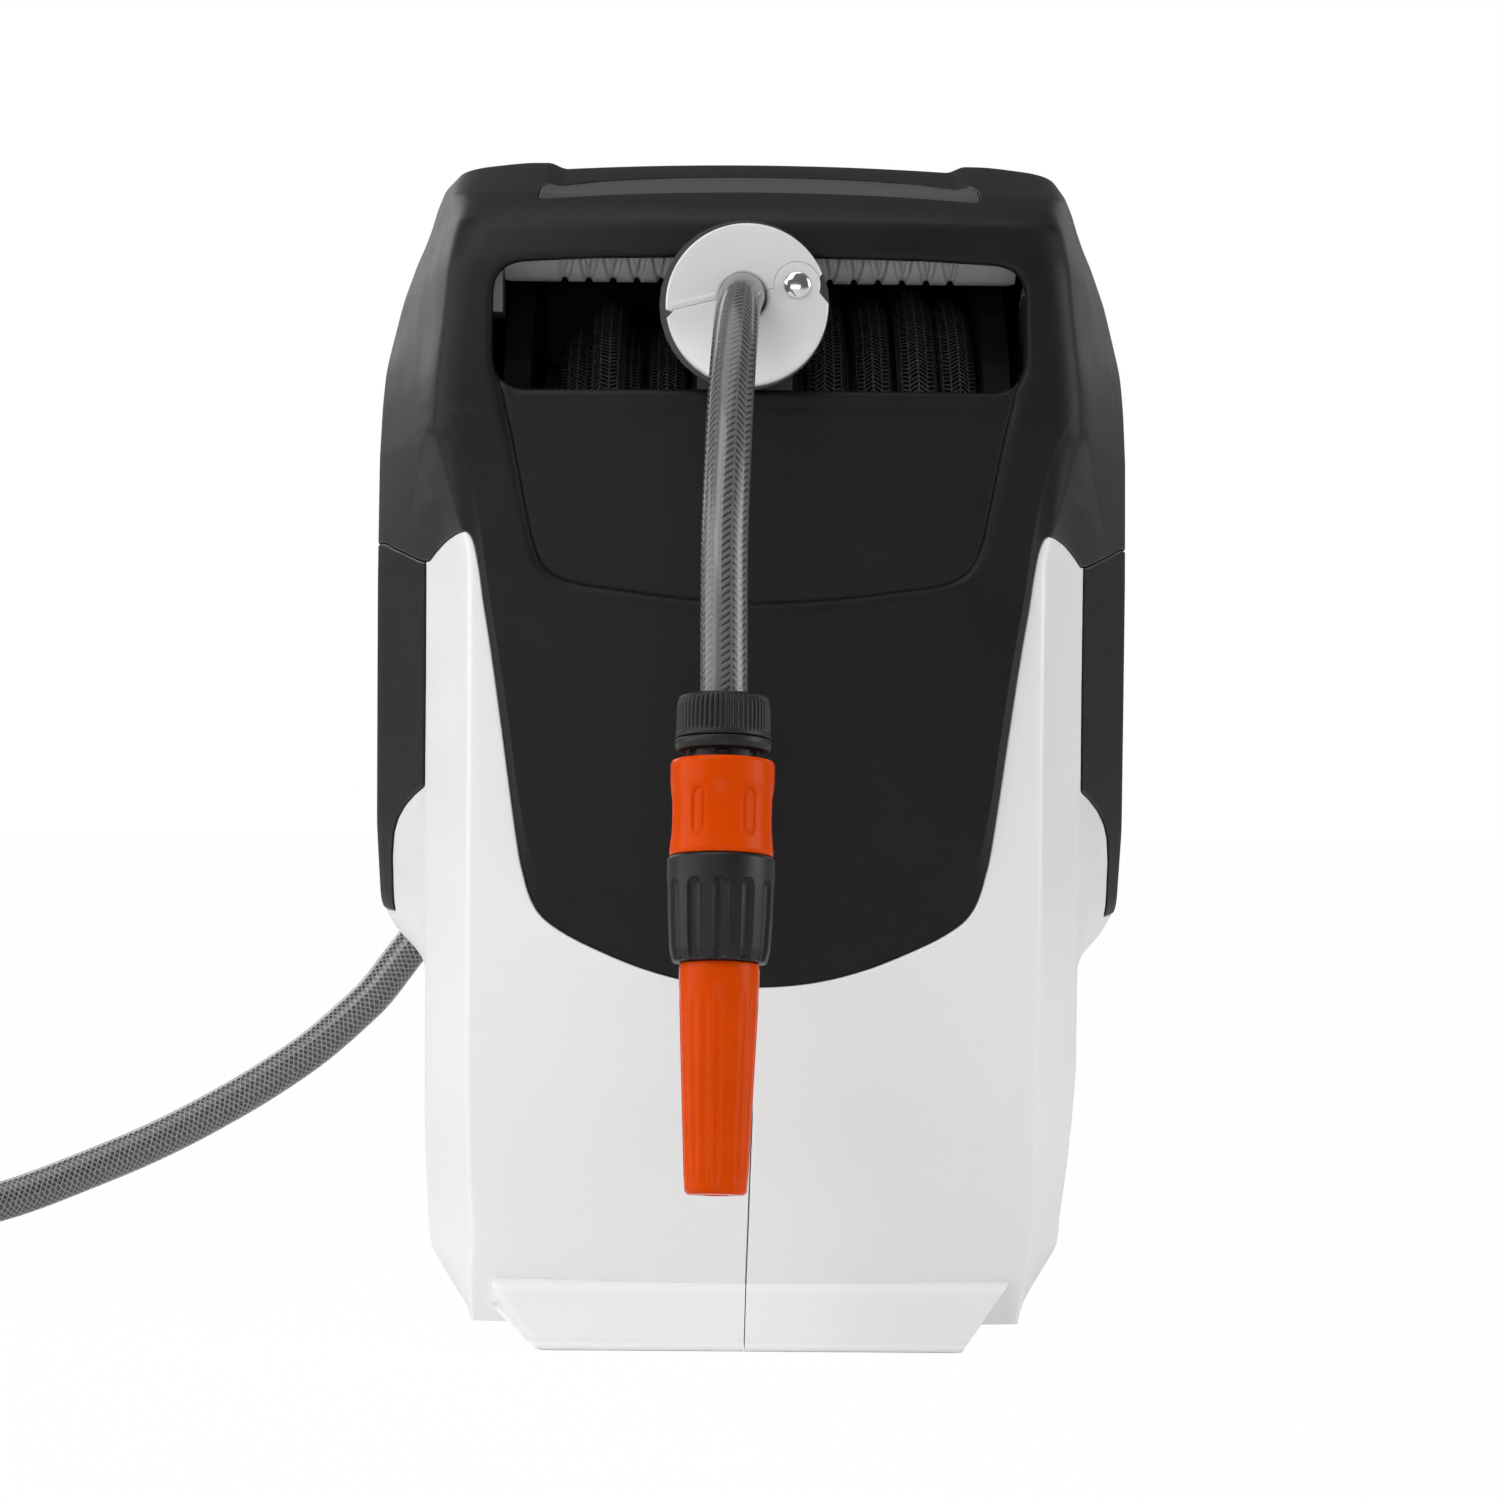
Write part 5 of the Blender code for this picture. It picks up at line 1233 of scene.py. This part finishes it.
coil = []
for deg in range(0, 1080 + 1, 12):
    if deg <= 290:
        r, z = 0.080, 0.0219
    elif deg <= 372:
        t = (deg - 290) / 82.0
        e = t * t * (3 - 2 * t)
        r = 0.080 + (0.072 - 0.080) * e - 0.0065 * math.sin(math.pi * t)
        z = 0.0219 + (0.0081 - 0.0219) * e
    elif deg <= 650:
        r, z = 0.072, 0.0081
    elif deg <= 740:
        t = (deg - 650) / 90.0
        e = t * t * (3 - 2 * t)
        r, z = 0.072 + 0.0162 * e, 0.0081
    else:
        r, z = 0.0882, 0.0081
    coil.append(coil_point(deg, r, z))
tail = [tuple(CENTRE + N_OUT * 0.0882 + T_IN * 0.020 + V3((0, 0, 0.0084))),
        tuple(CENTRE + N_OUT * 0.0880 + T_IN * 0.038 + V3((0, 0, 0.0105))),
        tuple(CENTRE + N_OUT * 0.0880 + T_IN * 0.055 + V3((0, 0, 0.0135))),
        tuple(CENTRE + N_OUT * 0.0880 + T_IN * 0.070 + V3((0, 0, 0.0162))),
        tuple(CENTRE + N_OUT * 0.0880 + T_IN * 0.085 + V3((0, 0, 0.0178))),
        tuple(CENTRE + N_OUT * 0.0880 + T_IN * 0.097 + V3((0, 0, 0.0180)))]
LEAD_PATH = resample(catmull(LEADER + [tuple(JOIN), tuple(STUB_M)] + coil + tail, 10), step=0.0045)
leader_hose = tube("hose_leader", LEAD_PATH, HOSE_R, M_HOSE_L, "housing", around=40, u_shift=0.0,
                   ref=(0, -1, 0))
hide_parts("leader_hose", "leader_coil")
# ---------------------------------------------------------------- fittings on the front hose


def nut_shape(count, depth, s0, s1):
    def fn(s, th, r):
        outer = r > 0.0120
        w = smoothstep(s0, s0 + 0.0012, s) * (1 - smoothstep(s1 - 0.0008, s1, s))
        return r + np.where(outer, w * depth * (np.abs(np.cos(th * count / 2)) ** 0.7 - 1.0), 0)
    return fn


def nut(name, origin, d, body, flip=False):
    prof = [(0.0, 0.0149), (0.0035, 0.0158), (0.0128, 0.0160), (0.0136, 0.0161), (0.01455, 0.0161), (0.01455, 0.0084),
            (0.0, 0.0084)]
    loop = round_poly(np.array(prof), [0.0016, 0.002, 0.0, 0.0003, 0.0004, 0.0003, 0.0004], 4)
    loop = dense(loop, 0.0007)
    return lathe(name, loop, origin, d, M_FITTING, body, n=432,
                 shape=nut_shape(54, 0.00052, 0.0008, 0.0132))


nut_ob = nut("hose_nut_front", FIT_TOP, FIT_DIR, "carriage")
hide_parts("hose_nut")

body_loop = round_poly(np.array([(0.0149, 0.0083), (0.0149, 0.0163), (0.0168, 0.0163), (0.0187, 0.0157), (0.0187, 0.0120),
                                 (0.0535, 0.0120), (0.0535, 0.0060), (0.0190, 0.0060), (0.0190, 0.0083)]),
                       [0.0003, 0.0007, 0.0008, 0.0006, 0.0008, 0.0003, 0.0003, 0.0003, 0.0003], 5)


def neck_shape(s, th, r):
    w = smoothstep(0.0190, 0.0196, s) * (r > 0.011)
    return r - w * 0.0012 * (np.cos(th * 6) < -0.35)


connector = lathe("connector_barrel", dense(body_loop, 0.0008), FIT_TOP, FIT_DIR, M_FITTING, "carriage",
                  n=144, shape=neck_shape)
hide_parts("connector_body")


def collar_shape(s, th, r):
    outer = r > 0.0155
    dd = np.zeros_like(r)
    for k in range(6):
        # a stadium outline with a groove around a slightly sunk pad
        c = math.radians(-2.0 + 60 * k)
        x = (np.mod(th - c + np.pi, 2 * np.pi) - np.pi) * 0.0170
        y = s - 0.0405
        q = np.hypot(x, np.maximum(np.abs(y) - 0.0052, 0))
        dd -= 0.00075 * (1 - smoothstep(0.0022, 0.0030, q)) * (1 - smoothstep(0.0, 0.01, np.abs(y) * 0))
        dd += 0.00035 * (1 - smoothstep(0.0009, 0.0016, q))
    return r + np.where(outer, dd, 0)


collar_prof = [(0.0220, 0.0124), (0.0220, 0.0171), (0.0235, 0.0175), (0.0300, 0.01745), (0.0350, 0.0169),
               (0.0420, 0.0168), (0.0490, 0.0171), (0.0528, 0.0175), (0.0543, 0.0173), (0.0543, 0.0124)]
loop = round_poly(np.array(collar_prof), [0.0003, 0.0010, 0.002, 0.02, 0.02, 0.05, 0.02, 0.0015, 0.0006, 0.0003], 5)
collar = lathe("connector_ring", dense(loop, 0.0006), FIT_TOP, FIT_DIR, M_ORANGE, "collar", n=300,
               shape=collar_shape)
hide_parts("connector_collar")


def grip_shape(s, th, r):
    outer = r > 0.0150
    x = (np.mod(th * 12 / (2 * np.pi) + 0.5, 1.0) - 0.5) * (2 * np.pi * 0.0172 / 12)
    q = np.hypot(x, np.maximum(0.0652 - s, 0))
    d = -0.00165 * np.sqrt(np.clip(1 - (q / 0.00245) ** 2, 0, 1))
    d = d * (1 - 0.75 * smoothstep(0.0885, 0.0899, s))
    return r + np.where(outer & (s > 0.0625), d, 0)


grip_prof = [(0.0546, 0.0060), (0.0546, 0.0176), (0.0556, 0.0181), (0.0640, 0.0180), (0.0760, 0.0176), (0.0860, 0.0170),
             (0.0900, 0.0160), (0.0900, 0.0113), (0.0700, 0.0113), (0.0700, 0.0060)]
loop = round_poly(np.array(grip_prof), [0.0003, 0.0006, 0.0005, 0.02, 0.03, 0.006, 0.0012, 0.0004, 0.0003, 0.0003], 5)
grip = lathe("nozzle_sleeve", dense(loop, 0.0006), FIT_TOP, FIT_DIR, M_FITTING, "carriage", n=360,
             shape=grip_shape)
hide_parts("nozzle_grip")


def nozzle_shape(s, th, r):
    outer = r > 0.0085
    w = smoothstep(0.1005, 0.1045, s) * (1 - smoothstep(0.1600, 0.1650, s))
    d = w * 0.00042 * (np.abs(np.cos(th * 9)) - 0.75)
    return r + np.where(outer, d, 0)


nozzle_prof = [(0.0705, 0.0030), (0.0705, 0.0109), (0.0900, 0.0109), (0.0903, 0.0132), (0.0925, 0.0135),
               (0.0945, 0.01345), (0.0975, 0.0134), (0.0990, 0.0133), (0.1300, 0.0120), (0.1600, 0.0107),
               (0.1658, 0.0104), (0.1669, 0.0095), (0.1670, 0.0046), (0.1640, 0.0030)]
loop = round_poly(np.array(nozzle_prof), [0.0003, 0.0003, 0.0, 0.0003, 0.0006, 0.0004, 0.0004, 0.0006, 0.1, 0.02, 0.0015,
                                          0.0012, 0.0006, 0.0005], 5)
nozzle = lathe("spray_tube", dense(loop, 0.0012), FIT_TOP, FIT_DIR, M_ORANGE, "nozzle", n=216,
               shape=nozzle_shape)
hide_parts("nozzle_tube")

# ---------------------------------------------------------------- fittings on the leader's end
TAIL_D = CENTRE + N_OUT * 0.0880 + T_IN * 0.085 + V3((0, 0, 0.0178))
END_NUT = TAIL_D + T_IN * 0.0012
nut2 = lathe("leader_end_nut", dense(round_poly(np.array([(0.0, 0.0149), (0.0025, 0.0158), (0.0120, 0.0160), (0.0130, 0.0161),
                                                          (0.0148, 0.0161), (0.0148, 0.0081), (0.0, 0.0081)]),
                                                [0.0016, 0.002, 0.0, 0.0003, 0.0004, 0.0003, 0.0004], 4), 0.0008),
             END_NUT, T_IN, M_FITTING, "housing", n=432, ref=(0, 0, 1),
             shape=nut_shape(54, 0.00052, 0.0008, 0.0132))
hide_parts("leader_nut")


def end_collar_shape(s, th, r):
    return collar_shape(s + 0.0057, th, r)


loop = round_poly(np.array([(0.0163, 0.0080), (0.0163, 0.0171), (0.0178, 0.0174), (0.0240, 0.0174), (0.0300, 0.0168),
                            (0.0370, 0.0167), (0.0440, 0.0171), (0.0465, 0.0174), (0.0480, 0.0168), (0.0480, 0.0100),
                            (0.0300, 0.0095), (0.0300, 0.0080)]),
                  [0.0003, 0.0010, 0.002, 0.02, 0.02, 0.05, 0.02, 0.0015, 0.0006, 0.0006, 0.0003, 0.0003], 5)
end_collar = lathe("leader_end_collar", dense(loop, 0.0008), TAIL_D, T_IN, M_ORANGE, "housing",
                   n=240, ref=(0, 0, 1), shape=end_collar_shape)
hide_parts("leader_collar")
# ---------------------------------------------------------------- stopper on the carriage's outlet
DISC = V3((-0.0047, 0.0, 0.3824))
DISC_R = 29.5
FRONT_Y, MID_F, MID_R, BACK_Y = -0.1995, -0.1963, -0.1960, -0.1928
RIVET = np.array([18.1, 7.2])
EAR, ROOM = 8.40, 8.52
UP_LINE = [(-60, 0.5), (-29.2, -2.1), (-27.2, -2.6), (-26.6, -2.12), (-10.4, 1.84), (0, 3.9), (7.8, 5.32), (10.3, 6.1),
           (18.5, 9.0), (25.6, 8.8), (26.8, 11.3), (60, 24), (60, 60), (-60, 60)]
LO_LINE = [(-60, -26), (-28.3, -4.5), (-27.1, -3.2), (-26.6, -2.24), (-10.4, 1.72), (0, 3.78), (7.8, 5.2), (10.3, 5.98),
           (18.5, 5.0), (26.2, 4.4), (29.2, 0.9), (60, -22), (60, -60), (-60, -60)]
GROOVE = np.array([(-26.0, -2.0), (-9.0, 2.2)]) * MM


def local(p):
    return (p[:, [0, 2]] - DISC[[0, 2]]) / MM


def circle_fn(c, r, inside=True):
    def fn(p):
        q = local(p) - np.asarray(c)
        n = np.hypot(*q.T)
        g = q / np.maximum(n, 1e-9)[:, None]
        if inside:
            return (r - n) * MM, -lift(g, (0, 2))
        return (n - r) * MM, lift(g, (0, 2))
    return fn


def union_fn(line, c, r):
    ring = circle_fn(c, r)

    def fn(p):
        d1, g1 = poly_sdf(np.array(line) * MM, local(p) * MM)
        d2, g2 = ring(p)
        pick = d1 > d2
        return np.where(pick, d1, d2), np.where(pick[:, None], lift(g1, (0, 2)), g2)
    return fn


def plate_skin():
    step = 0.00055
    ax = np.arange(-30.5, 30.6, step / MM) * MM
    gx, gz = np.meshgrid(ax + DISC[0], ax + DISC[2])
    co = np.stack([gx.ravel(), np.full(gx.size, FRONT_Y), gz.ravel()], 1)
    no = np.tile((0.0, -1.0, 0.0), (len(co), 1))
    idx = np.arange(gx.size).reshape(gx.shape)
    quads = np.stack([idx[:-1, :-1], idx[:-1, 1:], idx[1:, 1:], idx[1:, :-1]], 2).reshape(-1, 4)
    return Skin(co, no, quads)


HOLE = (-1.35, 2.6)


def jaw(name, line, upper):
    s = plate_skin()
    s.border(circle_fn((0, 0), DISC_R), 0.0009)
    s.border(union_fn(line, RIVET, EAR), 0.00028)
    s.border(circle_fn(HOLE, 8.35, False), 0.0016)
    s.border(circle_fn(RIVET, 2.3, False), 0.0002, steps=(1.0,))
    room = circle_fn(RIVET, ROOM)
    s.cut(room, 0.0, False, 0.00003)
    s.cut(room, 0.00006 if upper else -0.00006, False, 0.00001)

    def relief(co, no):
        r = np.hypot(*(local(co) - RIVET).T)
        d = np.zeros(len(co))
        d += 0.38 * MM * np.exp(-(line_dist(GROOVE, local(co) * MM) / (1.30 * MM)) ** 2)
        rr = np.hypot(*local(co).T)
        d += 0.45 * MM * (rr / DISC_R) ** 4
        if upper:
            d = np.where(r < ROOM - 0.03, MID_R - FRONT_Y, d)
        return -no * d[:, None]

    def back(co):
        out = co.copy()
        out[:, 1] = BACK_Y
        if not upper:
            r = np.hypot(*(local(co) - RIVET).T)
            out[r < ROOM + 0.03, 1] = MID_F
        return out
    verts, faces = s.solid(relief, 0.0, back)
    return make(name, verts, faces, M_WHITE, "carriage" if upper else "stopper_jaw", sharp=40.0,
                normals=False, weld=1.2e-5)


up_jaw = jaw("stopper_top_jaw", UP_LINE, True)
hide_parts("stopper_upper")
low_jaw = jaw("stopper_low_jaw", LO_LINE, False)
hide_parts("stopper_lower")
riv = [(-0.0068, 0.0), (-0.0068, 0.0021), (-0.0003, 0.0021), (-0.0003, 0.0049), (0.0002, 0.0050)] + \
      [(0.0003 + 0.00165 * math.sin(a), 0.00485 * math.cos(a)) for a in np.linspace(0.12, math.pi / 2, 14)]
rivet = lathe("stopper_rivet_head", riv, (DISC[0] + RIVET[0] * MM, FRONT_Y - 0.0001, DISC[2] + RIVET[1] * MM), (0, -1, 0),
              M_POLISHED, "carriage", n=72, sharp=50.0)
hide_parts("stopper_rivet")

# hose from the drum to the outlet
CAR_X = -0.005
feed = [(CAR_X, 0.1732 * math.cos(math.radians(a)), 0.245 + 0.1732 * math.sin(math.radians(a)))
        for a in (92, 95, 98, 101, 104, 107)]
feed += [(CAR_X, -0.075, 0.4028), (CAR_X, -0.100, 0.3948), (CAR_X - 0.0002, -0.1255, 0.3880),
         (CAR_X - 0.0005, -0.150, 0.3862), (CAR_X - 0.0009, -0.175, 0.3853), (EXIT[0], -0.1988, 0.3850)]
feed_ob = tube("hose_feed", resample(catmull(feed, 8), step=0.004), HOSE_R, M_HOSE_W, "carriage", around=28,
               ref=(1, 0, 0))
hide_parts("feed_hose")


def winding(name, turns, u_shift, shift=0.0):
    """turns: (x, radius) of each turn as it passes over the top and the front."""
    pts = []
    n = len(turns)
    for i, (x, r) in enumerate(turns):
        nx, nr = turns[i + 1] if i + 1 < n else (x, r)
        for k in range(60):
            a = k / 60.0                          # starts low at the back, over the top, down the front
            e = smoothstep(0.60, 0.98, a)
            ang = math.radians(-60 + 360 * a)
            rr, xx = r + (nr - r) * e, x + (nx - x) * e
            pts.append((xx, rr * math.cos(ang), 0.245 + rr * math.sin(ang)))
    pts = np.array(pts)
    ob = tube(name, pts, 0.0079, M_HOSE_W, "drum", around=24, u_shift=u_shift, ref=(1, 0, 0))
    return ob


in_turns = [(-0.0776 + 0.01724 * k, 0.1247) for k in range(10)]
mid_turns = [(0.0690 - 0.01724 * k, 0.1386) for k in range(9)]
out_turns = [(0.0774, 0.1515), (0.0618, 0.1562), (0.0452, 0.1520), (0.0270, 0.1546), (0.0086, 0.1525)]
loose_turn = [(-0.0575, 0.1498), (-0.0400, 0.1530)]
w1 = winding("hose_wound_inner", in_turns, 0.1)
w2 = winding("hose_wound_middle", mid_turns, 0.3)
w3 = winding("hose_wound_outer", out_turns, 0.55)
w4 = winding("hose_wound_loose", loose_turn[:1], 0.2)
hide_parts("hose_winding")
for extra in (w1, w3, w4):
    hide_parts("hose_winding")


# white traverse screw: one groove winds to the left, one to the right
def diamond_screw():
    lead = 0.00912
    x_ref = -0.03658
    xs = np.unique(np.concatenate([np.linspace(-0.0955, -0.0760, 9), np.arange(-0.0760, 0.0760, 0.00036),
                                   np.linspace(0.0760, 0.0972, 9)]))
    around = 96
    th = 2 * np.pi * np.arange(around) / around       # 0 at the bottom line
    X, T = np.meshgrid(xs, th, indexing='ij')
    R = np.full(X.shape, 0.0080)
    depth = np.zeros_like(X)
    for sgn in (1, -1):
        ph = (X - x_ref) / lead + sgn * T / (2 * np.pi)
        off = np.abs(ph - np.round(ph)) * lead * 0.984
        depth = np.maximum(depth, 0.0017 * (1 - smoothstep(0.00055, 0.00155, off)))
    ends = smoothstep(-0.0760, -0.0735, X) * (1 - smoothstep(0.0735, 0.0760, X))
    R = R - depth * ends
    R = R - 0.0006 * (np.clip((np.abs(X - 0.00085) - 0.0957) / 0.0006, 0, 1)) ** 2
    verts = np.stack([X, -0.1255 - R * np.sin(T), 0.4058 - R * np.cos(T)], 2).reshape(-1, 3)
    m = len(xs)
    idx = np.arange(m * around).reshape(m, around)
    nxt = np.roll(idx, -1, 1)
    quads = np.stack([idx[:-1], idx[1:], nxt[1:], nxt[:-1]], 2).reshape(-1, 4)
    faces = [tuple(q) for q in quads] + [tuple(idx[0]), tuple(reversed(idx[-1]))]
    ob = make("screw_diamond", verts, faces, M_SCREW, "screw", sharp=50.0)
    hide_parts("traverse_screw")


diamond_screw()
# ================================================================ stage
def stage():
    bm = bmesh.new()
    bmesh.ops.create_grid(bm, x_segments=1, y_segments=1, size=9.0)
    me = bpy.data.meshes.new("floor")
    bm.to_mesh(me)
    bm.free()
    m, nt, sh = new_mat("floor_pale", (0.86, 0.86, 0.86), 0.75)
    tc = nt.nodes.new("ShaderNodeTexCoord").outputs["Object"]
    n = node(nt, "ShaderNodeTexNoise", Scale=6.0, Detail=3.0)
    nt.links.new(tc, n.inputs["Vector"])
    nt.links.new(mix_colour(nt, n.outputs["Fac"], (0.85, 0.85, 0.85), (0.88, 0.88, 0.88)), sh.inputs["Base Color"])
    sh.inputs["Base Color"].default_value = (0.8, 0.8, 0.8, 1)
    glow = nt.nodes.new("ShaderNodeEmission")
    glow.inputs["Strength"].default_value = 1.0
    only = nt.nodes.new("ShaderNodeLightPath")
    part = math_node(nt, 'MULTIPLY', only.outputs["Is Camera Ray"], 0.985)
    blend = nt.nodes.new("ShaderNodeMixShader")
    nt.links.new(part, blend.inputs[0])
    nt.links.new(sh.outputs[0], blend.inputs[1])
    nt.links.new(glow.outputs[0], blend.inputs[2])
    target = next(x for x in nt.nodes if x.type == 'OUTPUT_MATERIAL')
    nt.links.new(blend.outputs[0], target.inputs["Surface"])
    me.materials.append(m)
    floor = bpy.data.objects.new("floor", me)
    floor.location = (0, 0, -0.0004)
    scene.collection.objects.link(floor)


stage()


def area(name, loc, target, size, energy, colour=(1, 1, 1), size_y=None):
    data = bpy.data.lights.new(name, 'AREA')
    data.energy = energy
    data.color = colour
    data.size = size
    if size_y:
        data.shape = 'RECTANGLE'
        data.size_y = size_y
    ob = bpy.data.objects.new(name, data)
    ob.location = loc
    ob.rotation_euler = (Vector(target) - Vector(loc)).to_track_quat('-Z', 'Y').to_euler()
    scene.collection.objects.link(ob)
    return ob


area("key_left", (-2.5, -1.7, 1.2), (0, 0, 0.25), 1.7, 20.5)
area("side_left", (-3.0, -0.2, 0.9), (0, 0, 0.25), 1.6, 24)
area("high_front", (-1.3, -1.9, 2.3), (0, 0, 0.25), 1.7, 33)
area("low_front", (-0.30, -3.3, 0.27), (0, 0, 0.25), 1.7, 9, size_y=0.5)
area("fill_right", (2.5, -1.2, 1.2), (0, 0, 0.25), 1.5, 14)
area("side_right", (3.0, -0.5, 0.9), (0, 0, 0.25), 1.6, 32)
area("rear_left", (-1.9, 2.6, 1.7), (0, 0, 0.30), 1.8, 24)
area("rear_right", (1.9, 2.6, 1.6), (0, 0, 0.30), 1.6, 9)
area("top", (-0.2, -0.3, 2.6), (0, 0, 0.2), 2.0, 19)

world = bpy.data.worlds.new("world")
scene.world = world
world.use_nodes = True
wn = world.node_tree
for n in list(wn.nodes):
    wn.nodes.remove(n)
out = wn.nodes.new("ShaderNodeOutputWorld")
mixer = wn.nodes.new("ShaderNodeMixShader")
path = wn.nodes.new("ShaderNodeLightPath")
amb = wn.nodes.new("ShaderNodeBackground")
amb.inputs["Color"].default_value = (1, 1, 1, 1)
amb.inputs["Strength"].default_value = 0.13
seen = wn.nodes.new("ShaderNodeBackground")
seen.inputs["Color"].default_value = (1, 1, 1, 1)
seen.inputs["Strength"].default_value = 1.0
wn.links.new(path.outputs["Is Camera Ray"], mixer.inputs[0])
wn.links.new(amb.outputs[0], mixer.inputs[1])
wn.links.new(seen.outputs[0], mixer.inputs[2])
wn.links.new(mixer.outputs[0], out.inputs[0])

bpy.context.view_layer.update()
import json
